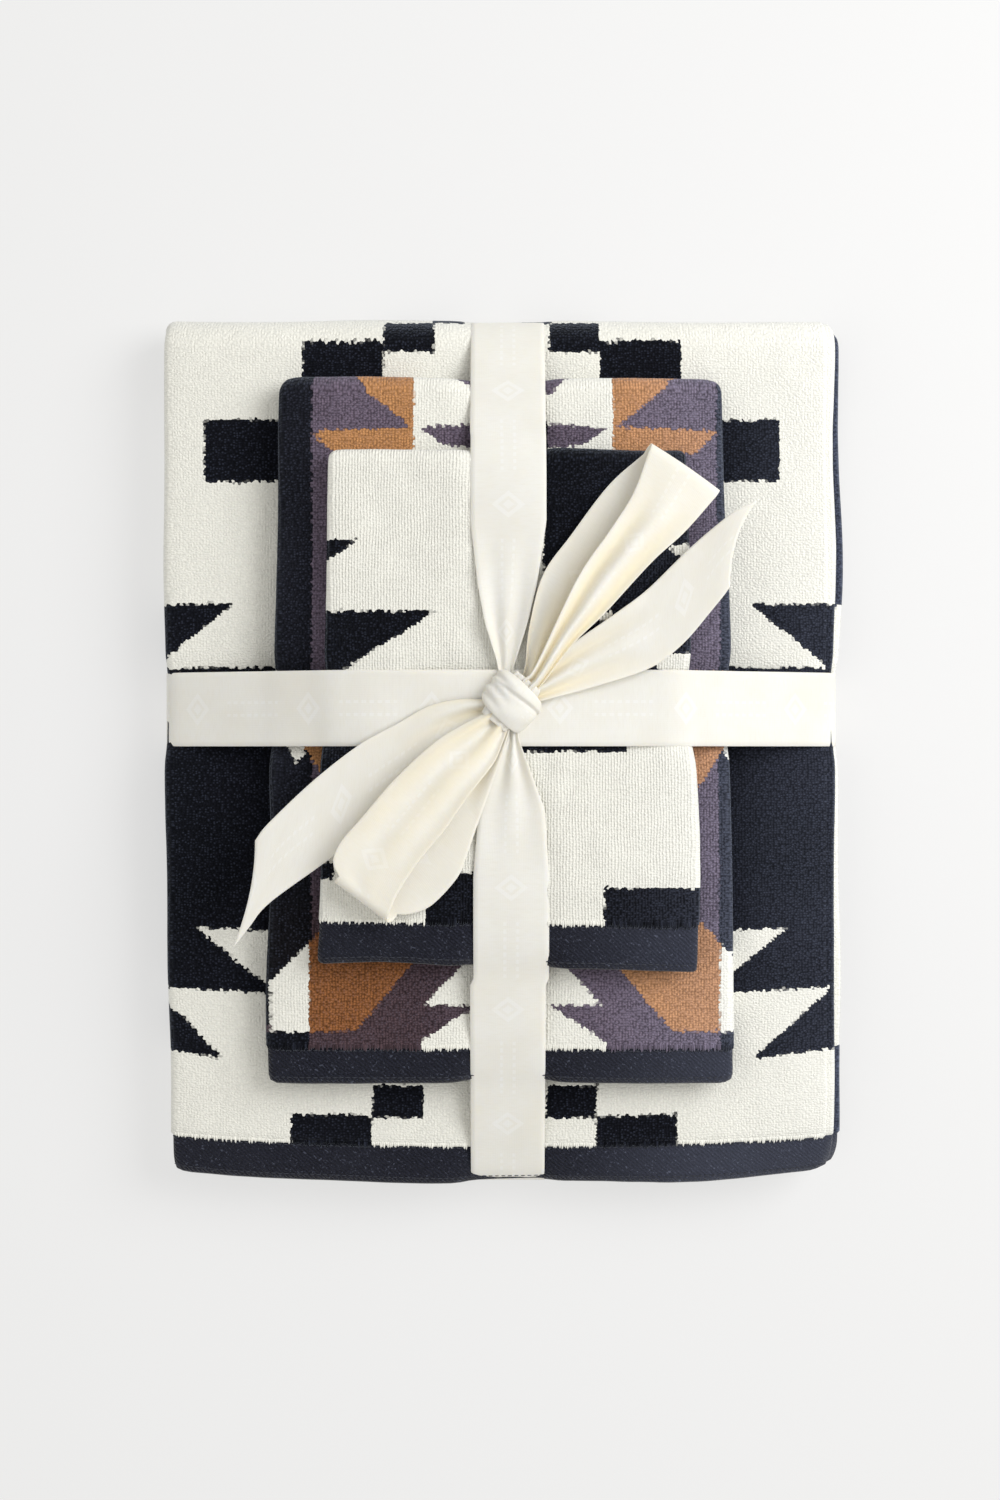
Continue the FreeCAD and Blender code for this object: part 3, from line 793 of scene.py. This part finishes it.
def pile_fringe(name, fold, hem, cloth_thick, hem_thick, design, mat, span, seed):
    """The last row of pile tufts, leaning out over the hem below it."""
    draw = np.random.default_rng(seed)
    u = np.arange(*span, TUFT_PITCH)
    u = u + draw.uniform(-0.3, 0.3, len(u))
    steps = hem + np.array([-4.0, -2.0, 0.0, 2.0])
    grid = fold.points(u, steps)
    normal = grid_normals(grid) * (-1 if fold.flip else 1)
    verts, faces, uvs = [], [], []
    corners = 5
    for k in range(1, len(u) - 1):
        reach = draw.uniform(0.5, 3.0)
        aside = grid[k + 1, 1] - grid[k - 1, 1]
        aside /= np.linalg.norm(aside)
        spine = []
        for place, lift in (
            (hem + 1.6, cloth_thick * 0.38),
            (hem + 0.2, cloth_thick * 0.47),
            (hem - reach * 0.6, hem_thick * 0.5 + 0.55),
            (hem - reach, hem_thick * 0.5 + 0.15),
        ):
            at = np.array([np.interp(place, steps, grid[k, :, c]) for c in range(3)])
            up = np.array([np.interp(place, steps, normal[k, :, c]) for c in range(3)])
            spine.append(at + up * lift + aside * draw.uniform(-0.12, 0.12))
        base = len(verts)
        for centre, size in zip(spine, TUFT_SIZES):
            verts += ring(centre, aside * size, normal[k, 1] * 0.8 * size, corners)
        last, tip = len(verts) - corners, len(verts)
        verts.append(spine[-1])
        faces += tube_faces(base, len(TUFT_SIZES), corners)
        faces += [(last + corner, last + (corner + 1) % corners, tip) for corner in range(corners)]
        across = design[0](u[k:k + 1])[0] + fold.towel.tapered(grid[k, 1, 0], grid[k, 1, 1])
        uvs += [(across, design[1](np.array([hem + 2.2]))[0])] * (len(verts) - base)
    obj = new_object(name, np.array(verts), faces, [mat], np.array(uvs))
    on_stack(obj)
    return obj


def care_label(name, towel, node):
    """A small blank tape sewn into the edge, lying between two layers."""
    low, high = box_mm(node)
    u = np.linspace(0, 1, 8)[:, None]
    v = np.linspace(0, 1, 14)[None, :]
    grid = np.zeros((8, 14, 3))
    grid[..., 0] = low[0] + (high[0] - low[0]) * u
    grid[..., 1] = low[1] + (high[1] - low[1]) * v
    grid[..., 2] = (low[2] + high[2]) / 2 + 0.12 * np.sin(v * 5) * u
    uv = np.stack(np.broadcast_arrays(u * 14, v * 30), -1)
    verts, faces, uvs, _ = thick_sheet(towel.settle(grid), uv, 0.25)
    on_stack(new_object(name, verts, faces, [MATS["label"]], uvs), [node])


HEM_TUCK = 0.8


def hems_and_label(prefix, far_hem, fold, u, hem, thick, design, first_stitch, inset, lift):
    """Both end hems, the stitching on the upper one and the care label."""
    for key, low, high in (("top", 0, hem + HEM_TUCK), (far_hem, fold.length - hem - HEM_TUCK, fold.length)):
        lay(f"{prefix}_{key}_end_hem", fold, u, np.linspace(low, high, 7), thick, [MATS["hem"]], design,
            [f"{prefix}_{key}_hem"])
    stitch_rows(prefix + "_stitch_rows", fold, (first_stitch, hem - 2.0), inset, lift, design,
                [prefix + "_hem_stitching"])
    care_label(prefix + "_blank_label", fold.towel, prefix + "_care_label")


# ------ the bath towel
# Halved across its width with the fold at -X, then in thirds, its front end uppermost.
STEP = 5.0
PLY = (bath.high - 0.8) / 3 / 2
PILE_THICK = PLY * 0.97
HEM_THICK = 3.0
SLAB = 2 * PLY
PITCH = SLAB + 0.4
LOWER_PLY_SHOWS = 3.6
SIDE_HEM = 4.0
BATH_ACROSS = 5.5
EDGE_X = BATH_HIGH[0] + 0.6
TOP_PLY = EDGE_X - BATH_LOW[0] - PLY
BACK_LINE = bath.back - PITCH - PLY
FRONT_LINE = bath.front + PITCH / 2 + PLY
INNER_END = box_mm("bath_towel_inner_hem")[1][1]
BATH_HEM = box_mm("bath_towel_top_hem")[1][1] - bath.front - 3.0
bath_u = [(TOP_PLY, 0), (math.pi * PLY / 2, math.pi), (TOP_PLY + LOWER_PLY_SHOWS, 0)]
bath_v = [
    (BACK_LINE - bath.front, 0), (math.pi * PITCH, -math.pi), (BACK_LINE - FRONT_LINE, 0),
    (math.pi * PITCH / 2, -math.pi), (INNER_END - FRONT_LINE, 0),
]
bath_fold = Fold(bath, (EDGE_X, PLY / 2), bath_u, (bath.front, SLAB / 2 + 2 * PITCH), bath_v, flip=True)


def bath_across(u):
    half = bath_u[0][0] + bath_u[1][0] / 2
    return BATH_LOW[0] + np.abs(half - u) + BATH_ACROSS


def bath_along(v):
    return bath.front + mirrored(v, bath_v[0][0] + bath_v[1][0] / 2)


design = (bath_across, bath_along)
both_sides = [MATS["bath"], MATS["bath_reverse"]]
inner_v = stations(bath_v, STEP, 12, ends=(BATH_HEM, bath_fold.length - BATH_HEM))
side_marks = np.array([0.0, 1.2, 2.4, 3.4, SIDE_HEM])
side_hems = [
    lay("bath_towel_side_hem_" + key, bath_fold, marks, inner_v, PLY * 0.66, both_sides, design,
        nodes)
    for key, marks, nodes in (
        ("upper", side_marks, ["bath_towel_side_hems"]),
        ("lower", bath_fold.width - side_marks[::-1], []),
    )
]
top_half = (SIDE_HEM, bath_u[0][0] + bath_u[1][0] * 0.3)
bath_fringe = pile_fringe("bath_towel_pile_fringe", bath_fold, BATH_HEM, PILE_THICK, HEM_THICK, design,
                          MATS["bath"], top_half, 5)
between_hems = stations(bath_u, STEP, ends=(SIDE_HEM, bath_fold.width - SIDE_HEM))
lay("bath_towel_pile_cloth", bath_fold, between_hems, inner_v, PILE_THICK, both_sides, design,
    ["bath_towel_cloth"])
hems_and_label("bath_towel", "inner", bath_fold, stations(bath_u, STEP), BATH_HEM, HEM_THICK, design,
               2.4, 3.0, 1.6)


# ------ the two small towels
def small_towel(key, prefix, towel, flap, under_length, hem, middle):
    """A towel with its sides turned under, and its far part folded under the near one."""
    ply = (towel.high - 0.4) / 4
    pile_thick, hem_thick = ply * 0.97, ply * 0.64
    left = towel.mid[0] - towel.half[0] + ply / 2
    far = towel.mid[0] + towel.half[0] - ply / 2
    bend = math.pi * ply / 2
    u_parts = [(flap, 0), (bend, -math.pi), (far - left, 0), (bend, -math.pi), (flap, 0)]
    radius = ply + 0.2
    line = towel.back - radius - ply
    v_parts = [(line - towel.front, 0), (math.pi * radius, -math.pi), (under_length, 0)]
    height = towel.base + towel.high - ply
    fold = Fold(towel, (left + flap, -ply / 2), u_parts, (towel.front, height), v_parts)
    turn = line - towel.front + v_parts[1][0] / 2
    design = (lambda u: u - fold.width / 2 + towel.mid[0] - middle, lambda v: towel.front + mirrored(v, turn))
    u = stations(u_parts, 4.0)
    v = stations(v_parts, 4.0, 12, ends=(hem, fold.length - hem))
    top = (flap + bend * 0.5, fold.width - flap - bend * 0.5)
    fringe = pile_fringe(prefix + "_pile_fringe", fold, hem, pile_thick, hem_thick, design,
                         MATS[key], top, 6)
    lay(prefix + "_pile_cloth", fold, u, v, pile_thick, [MATS[key]], design,
        [prefix + "_cloth"])
    hems_and_label(prefix, "under", fold, u, hem, hem_thick, design, 2.2, flap + bend, ply * 0.34)


small_towel("hand", "hand_towel", hand, flap=82, under_length=hand.back - hand.front - 26, hem=18, middle=6)
small_towel("wash", "washcloth", wash, flap=68, under_length=60, hem=22.5, middle=0)


# ------ the ribbon
def surface_of(objects):
    """A search tree over the finished pieces, in millimetres."""
    verts, faces = [], []
    for obj in objects:
        base = len(verts)
        verts += [v.co / MM for v in obj.data.vertices]
        faces += [[base + i for i in p.vertices] for p in obj.data.polygons]
    return BVHTree.FromPolygons(verts, faces)


def height_at(tree, x, y):
    hit = tree.ray_cast(Vector((x, y, 200)), Vector((0, 0, -1)))[0]
    return hit.z if hit else 0.0


def curve(points, count):
    """A smooth curve through the points, sampled evenly by its length."""
    points = np.array(points, float)
    ends = [2 * points[0] - points[1], *points, 2 * points[-1] - points[-2]]
    dense = []
    for p0, p1, p2, p3 in zip(ends, ends[1:], ends[2:], ends[3:]):
        t = np.linspace(0, 1, 24, endpoint=False)[:, None]
        dense.append(0.5 * (2 * p1 + (p2 - p0) * t + (2 * p0 - 5 * p1 + 4 * p2 - p3) * t ** 2
                            + (3 * p1 - p0 - 3 * p2 + p3) * t ** 3))
    return resample(np.concatenate([*dense, points[-1:]]), count)


def steps_along(path):
    return np.linalg.norm(np.diff(path, axis=0), axis=1)


def resample(path, count):
    lengths = np.concatenate([[0], np.cumsum(steps_along(path))])
    at = np.linspace(0, lengths[-1], count)
    return np.stack([np.interp(at, lengths, path[:, k]) for k in range(path.shape[1])], 1)


def profile(shares, knots, values):
    """Values eased between the knots, without any corner."""
    fine = np.linspace(0, 1, 201)
    level = np.interp(fine, knots, values)
    for _ in range(3):
        level = np.convolve(np.pad(level, 8, mode="edge"), np.ones(17) / 17, mode="valid")
    return np.interp(shares, fine, level)


def ribbon_piece(name, grid, node, rides=True, depth=None):
    """A strip of ribbon from a grid across and along it; depth says how deep in a fold each point is, which
    sets its painted warm fold shade.
    """
    along = np.concatenate([[0], np.cumsum(steps_along(grid[grid.shape[0] // 2]))])
    across = np.linspace(-RIBBON_WIDE / 2, RIBBON_WIDE / 2, grid.shape[0])
    uv = np.stack(np.meshgrid(across, along, indexing="ij"), -1)
    verts, faces, uvs, _ = thick_sheet(grid, uv, RIBBON_THICK, lip=0.3)
    obj = new_object(name, verts, faces, [MATS["satin"]], uvs)
    if depth is not None:
        values = np.concatenate([np.pad(depth, 1, mode="edge").ravel(), depth.ravel()])
        layer = obj.data.attributes.new(PAINTED_FOLD_SHADE, "FLOAT", "POINT")
        layer.data.foreach_set("value", values.astype(np.float32))
    if rides:
        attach(obj, STACK)
    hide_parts(node)
    return obj


def hull(points):
    """Corners of the convex hull, anticlockwise."""
    points = sorted(map(tuple, points))
    halves = []
    for run in (points, points[::-1]):
        chain = []
        for p in run:
            while len(chain) > 1 and cross2(chain[-2], chain[-1], p) <= 0:
                chain.pop()
            chain.append(p)
        halves.append(chain[:-1])
    return np.array(halves[0] + halves[1])


def cross2(o, a, b):
    return (a[0] - o[0]) * (b[1] - o[1]) - (a[1] - o[1]) * (b[0] - o[0])


# ------ its two turns round the stack
BAND_GIVE = 0.08
RESTS_ABOVE = 28
TOP_ABOVE = 60
BAND_COUNT = 260
BAND_ACROSS = 15


def full_width(place):
    return RIBBON_WIDE / 2, 0.0, 0.0


def waist(y):
    """Half width, sideways shift and pleat height of the lengthwise band near the knot."""
    knots = [-64, -30, -8, 6, 12, 36, 42, 46, 63, 82, 114]
    half = np.interp(y, knots, [18.9, 16.5, 8.0, 2.5, 3.0, 3.0, 4.0, 5.2, 10.5, 14.6, 18.9])
    shift = np.interp(y, knots, [1.6, 1.8, 2.2, 2.6, 2.0, -1.0, -1.2, -0.9, -0.9, -0.4, 0.2])
    pleat = np.interp(y, knots, [0.0, 0.6, 1.3, 0.8, 0.3, 0.3, 0.8, 1.1, 1.2, 0.7, 0.0])
    return half, shift, pleat


def band_path(axis, middle, floor_z, objects):
    """The closed line that a band follows, part taut and part resting on each towel."""
    other = 1 - axis
    tree = surface_of(objects)
    section = []
    for obj in objects:
        spots = np.array([v.co for v in obj.data.vertices]) / MM
        near = np.abs(spots[:, other] - middle) < RIBBON_WIDE / 2
        section.append(spots[near][:, [axis, 2]])
    section = np.concatenate(section)
    outline = hull(section)
    path = resample(np.concatenate([outline, outline[:1]]), 700)[:-1]
    for i in np.flatnonzero(path[:, 1] > RESTS_ABOVE):
        spot = [0.0, 0.0]
        spot[axis] = path[i, 0]
        contact = 0.0
        for step in (-0.95, -0.5, 0.0, 0.5, 0.95):
            spot[other] = middle + step * RIBBON_WIDE / 2
            contact = max(contact, height_at(tree, *spot))
        path[i, 1] = max(path[i, 1] * (1 - BAND_GIVE) + contact * BAND_GIVE, contact)
    centre = np.array([section[:, 0].mean(), 20.0])
    for _ in range(14):
        path = (np.roll(path, 1, 0) + path + np.roll(path, -1, 0)) / 3
    step = np.roll(path, -1, 0) - np.roll(path, 1, 0)
    normal = np.stack([step[:, 1], -step[:, 0]], 1)
    normal /= np.linalg.norm(normal, axis=1)[:, None]
    normal *= np.sign((normal * (path - centre)).sum(1))[:, None]
    path = path + normal * (RIBBON_THICK / 2 + 0.25)
    path[:, 1] = np.maximum(path[:, 1], floor_z + RIBBON_THICK / 2)
    path = np.roll(path, -int(np.argmin(np.hypot(path[:, 0], path[:, 1]))), 0)
    return resample(np.concatenate([path, path[:1]]), BAND_COUNT)


def band(key, axis, middle, floor_z, objects, half_width):
    """A closed band of ribbon round the stack along one axis."""
    path = band_path(axis, middle, floor_z, objects)
    across = np.linspace(-1, 1, BAND_ACROSS)
    grid = np.zeros((BAND_ACROSS, BAND_COUNT, 3))
    for k, (place, height) in enumerate(path):
        on_top = height > TOP_ABOVE
        half, shift, pleat = half_width(place) if on_top else full_width(place)
        crimp = pleat * np.cos(across * math.pi * 2.0)
        grid[:, k, axis] = place
        grid[:, k, 1 - axis] = middle + shift + across * half
        grid[:, k, 2] = height + crimp + 0.25 * np.sin(place / 17 + across * 2) * on_top
    if axis == 0:
        grid = grid[::-1]
    return ribbon_piece("ribbon_band_" + key, grid, f"ribbon_{key}_band")


towel_parts = ("_pile_cloth", "_end_hem", "_side_hem_")
towels = [o for o in bpy.data.objects if any(part in o.name for part in towel_parts)]
crosswise = band("crosswise", 0, BAND_Y, 0.0, towels, full_width)
lengthwise = band("lengthwise", 1, BAND_X, 0.7, [*towels, crosswise], waist)
below_bow = surface_of([*towels, crosswise, lengthwise])


# ------ the bow
PLEAT_SHARE = 0.5
FOLD_ROUND = 5.0
EDGE_COUNT = 46
TURN_COUNT = 11
TAIL_COUNT = 60
FRONT_HEIGHTS = ([0, 0.12, 0.35, 0.7, 1.0], [77.5, 80.5, 83.6, 84.6, 84.2])
BACK_HEIGHTS = ([0, 0.25, 0.7, 0.9, 1.0], [74.4, 72.9, 72.8, 74.2, 75.5])
TAIL_KNOTS = [0, 0.2, 0.6, 0.85, 1.0]


def strip_grid(left, right, waves, phase, extra, flat_at, across=29):
    """A grid between two edge curves, pleated wherever they are closer than the ribbon is wide."""
    s = np.linspace(0, 1, across)[:, None]
    f = np.linspace(0, 1, left.shape[0])[None, :]
    grid = left[None] * (1 - s[..., None]) + right[None] * s[..., None]
    wide = np.clip(np.linalg.norm(right - left, axis=1), 6.0, RIBBON_WIDE)
    spare = np.sqrt(2 * ((RIBBON_WIDE / wide) ** 2 - 1))
    deep = PLEAT_SHARE * wide / (2 * math.pi * waves) * spare * flat_at(f[0])
    wave = np.sin(2 * math.pi * waves * s + phase + 0.9 * np.sin(5 * f))
    # how much painted warm fold shade each point gets: more in deep pleats and where their waves dip
    depth = np.clip(0.10 + 0.55 * np.minimum(deep / 2.0, 1) * (0.45 - 0.55 * wave), 0, 1)
    return grid + grid_normals(grid) * (deep[None, :] * wave + extra(s, f))[..., None], depth


def raised(points, count, knots, heights):
    """A smooth curve through flat points, at heights eased between the knots."""
    level = profile(np.linspace(0, 1, count), knots, heights)
    return np.concatenate([curve(points, count), level[:, None]], 1)


def loop_edge(front, back, corner):
    """One edge of a loop: out along the front, round the far fold and back underneath."""
    out_path = raised(front, EDGE_COUNT, *FRONT_HEIGHTS)
    in_path = raised(back, EDGE_COUNT, *BACK_HEIGHTS)
    top, low = out_path[-1], in_path[0]
    bends = np.linspace(90, -90, TURN_COUNT)[1:-1] * math.pi / 180
    middle, swing = (top + low) / 2, (top - low) / 2
    away = np.append(np.array(corner) - middle[:2], 0)
    away = away / np.linalg.norm(away) * FOLD_ROUND
    arc = [middle + swing * math.sin(b) + away * math.cos(b) for b in bends]
    return np.concatenate([out_path, arc, in_path])


def camber(height):
    """A loop's slight roundness across the ribbon, over on the front and under on the back."""
    def extra(s, f):
        from_knot = np.minimum(f, 1 - f) * 2
        sign = np.where(f < 0.5, 1.0, -0.35)
        return sign * height * np.sin(math.pi * s) * np.sin(math.pi * from_knot) ** 0.5
    return extra


def bend_at_joint(obj):
    """Bakes the piece's placement into its mesh."""
    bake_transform(obj)


def add_loop(key, left, right, waves, phase, round_by):
    grid, depth = strip_grid(
        left, right, waves, phase, camber(round_by), lambda f: smooth(np.abs(f - 0.5) / 0.24))
    obj = ribbon_piece("ribbon_bow_loop_" + key, grid, "ribbon_loop_" + key, rides=False,
                       depth=depth)
    bend_at_joint(obj)


def add_tail(key, upper, lower, heights, bow, waves, phase):
    """A tail with a slanting cut end; bow hollows the cut."""
    shares = np.linspace(0, 1, TAIL_COUNT)
    edges = [raised(points, TAIL_COUNT, TAIL_KNOTS, heights) for points in (upper, lower)]
    grid, depth = strip_grid(
        *edges, waves, phase, lambda s, f: 0.5 * np.sin(7 * f + 2 * s), lambda f: 1 - smooth((f - 0.4) / 0.3))
    # the painted fold shade fades out toward the tail's cut end
    depth = depth * np.clip(1.3 - shares[None, :] * 2, 0, 1)
    s = np.linspace(0, 1, grid.shape[0])[:, None]
    hollow = (4 * s * (1 - s)) * smooth((shares[None, :] - 0.75) / 0.25)
    grid[..., 0] += hollow * bow[0]
    grid[..., 1] += hollow * bow[1]
    for point in grid.reshape(-1, 3):
        point[2] = max(point[2], height_at(below_bow, point[0], point[1]) + RIBBON_THICK / 2 + 0.3)
    obj = ribbon_piece("ribbon_bow_tail_" + key, grid, "ribbon_tail_" + key,
                       rides=False, depth=depth)
    bend_at_joint(obj)


add_loop(
    "upper_right",
    loop_edge(
        [(6, 29), (12, 35), (18, 42), (38, 84), (54, 107.6), (65.5, 126), (73.2, 146.5)],
        [(71.5, 147), (54, 131.4), (35.2, 106.6), (21.3, 86.7), (14.5, 60), (12.4, 40.6), (8, 31)],
        (75, 152)),
    loop_edge(
        [(12, 22), (17, 28), (22, 34), (36.2, 52.5), (51.6, 67.4), (74.4, 92.2), (90.5, 107), (106, 124.5)],
        [(104, 123.5), (86, 106), (70, 90), (48, 66), (33, 51), (20, 34), (12, 24)],
        (108, 128)),
    waves=1.8, phase=0.9, round_by=2.2)
add_loop(
    "lower_left",
    loop_edge(
        [(-1, 22), (-6.9, 18.5), (-29.7, 5.5), (-50.6, -13.4), (-66.9, -32.2), (-78.3, -45.6), (-82, -55),
         (-79, -62)],
        [(-77, -61), (-76, -50), (-64, -35), (-47, -16), (-27, 2), (-8, 16), (-1, 20)],
        (-82, -66)),
    loop_edge(
        [(5, 14), (1, 3), (-3.5, -6.9), (-15.9, -22.8), (-27.3, -39.2), (-39.7, -54), (-50.6, -70.9),
         (-54.5, -80)],
        [(-51, -81.5), (-44.1, -81.3), (-33.7, -76.8), (-21.3, -63.4), (-16.4, -52), (-12.5, -40.6),
         (-5.5, -20.8), (2, 0.5), (5.5, 12)],
        (-56, -87)),
    waves=2.1, phase=2.1, round_by=2.0)
add_tail(
    "upper_right",
    [(9, 29), (20, 40), (37, 53.5), (57, 67.5), (73.5, 80), (94, 100), (113, 116), (121.5, 121),
     (126.5, 122.5)],
    [(12, 22), (22.5, 25), (45, 31), (71.5, 39.5), (83.5, 46.5), (94, 56), (104, 68), (110.5, 76),
     (114, 81)],
    [73.5, 72.2, 72.8, 74.5, 77.0], bow=(-3.2, 1.8), waves=2.0, phase=0.6)
add_tail(
    "lower_left",
    [(4, 17), (-8, 10), (-25, -4), (-52, -28), (-82.5, -52.5), (-114, -75.5), (-124.5, -88), (-133, -99)],
    [(2, 26), (-8, 25), (-21.5, 25), (-36, 21.5), (-51, 13), (-70, 2.5), (-93, -15.5), (-115, -36.5),
     (-121.5, -45)],
    [73.5, 72.2, 72.6, 74.0, 75.0], bow=(3.0, 0.5), waves=2.4, phase=1.0)


def knot():
    """The ribbon gathered and wrapped once across the roots of the bow, over its pleated core."""
    centre = np.array([5.5, 24.0])
    axis = direction(math.radians(50))
    wrap = np.array([axis[1], -axis[0]])

    def placed(along, aside, height):
        flat = centre + axis * along[..., None] + wrap * aside[..., None]
        return np.concatenate([flat, height[..., None]], -1)

    t = np.linspace(-1, 1, 33)[:, None]
    turn = np.linspace(-18, 198, 41)[None, :] * math.pi / 180
    half = 10.6 * (0.80 + 0.20 * np.sqrt(np.maximum(np.sin(turn), 0)))
    lean = 0.16 * np.cos(turn)
    groove = np.exp(-((t - 0.32 - lean) / 0.09) ** 2) * smooth((np.cos(turn) + 1.1) / 0.8)
    fold_edge = smooth((t - 0.36 - lean) / 0.12)
    fan = np.clip(-np.cos(turn) + 0.1, 0, 1)
    creases = 0.55 * fan * np.sin(12 * t + 2.2 * np.cos(turn) + 0.7) + 0.25 * np.sin(5 * t + 3 * turn)
    swell = 1 - 0.16 * np.abs(t) ** 3.5
    out = swell * (1 + 0.05 * np.cos(2 * turn)) * 13.4 + creases - 0.6 * groove + 0.8 * fold_edge
    up = swell * 11.6 + creases - 0.65 * groove + 0.9 * fold_edge
    grid = placed(half * t - 0.8 * np.cos(turn), out * np.cos(turn), 72.2 + up * np.sin(turn))
    ribbon_piece("ribbon_knot_outer_wrap", grid, "ribbon_knot_wrap")

    t = np.linspace(-1, 1, 21)[:, None]
    turn = np.linspace(0, 360, 49)[None, :] * math.pi / 180
    pleat = 1 + 0.07 * np.sin(9 * turn + 2 * t) + 0.03 * np.sin(17 * turn)
    size = (1 - 0.22 * t ** 2) * pleat
    core = placed(13.5 * t + 0 * turn, 9.0 * size * np.cos(turn), 76.6 + 4.6 * size * np.sin(turn))
    ribbon_piece("ribbon_knot_inner_core", core[:, ::-1], "ribbon_knot_core")


knot()


# ------ studio
FLOOR_REACH = 20000
LAMPS = (
    ("key", (0.95, 0.45, 0.95), (0.05, 0, 0), 0.9, 13.5),
    ("fill", (-1.0, -0.8, 1.8), (0, 0, 0), 1.8, 3.5),
)


def studio():
    scene = bpy.context.scene
    scene.view_settings.view_transform = "Standard"
    paint = Nodes("floor").surface((0.34, 0.34, 0.34, 1.0), None, {
        "Roughness": 0.95, "Specular IOR Level": 0.0,
        "Emission Color": (1.0, 1.0, 1.0, 1.0), "Emission Strength": 0.535,
    })
    corners = np.array([(-1, -1, 0), (1, -1, 0), (1, 1, 0), (-1, 1, 0)]) * FLOOR_REACH
    new_object("floor", corners, [(0, 1, 2, 3)], [paint])
    world = bpy.data.worlds.new("studio")
    scene.world = world
    world.use_nodes = True
    background = world.node_tree.nodes["Background"]
    background.inputs["Color"].default_value = (1.0, 0.985, 0.95, 1.0)
    background.inputs["Strength"].default_value = 0.61
    for name, place, aim, size, power in LAMPS:
        light = bpy.data.lights.new(name, "AREA")
        light.size = size
        light.energy = power
        lamp = bpy.data.objects.new(name, light)
        lamp.location = place
        lamp.rotation_euler = (Vector(aim) - Vector(place)).to_track_quat("-Z", "Y").to_euler()
        scene.collection.objects.link(lamp)
    camera = bpy.data.cameras.new("camera")
    camera.sensor_fit = "VERTICAL"
    camera.sensor_height = 36.0
    camera.lens = 44.75
    eye = bpy.data.objects.new("camera", camera)
    eye.location = (0.0, 0.0, 1.0)
    scene.collection.objects.link(eye)
    scene.camera = eye


studio()
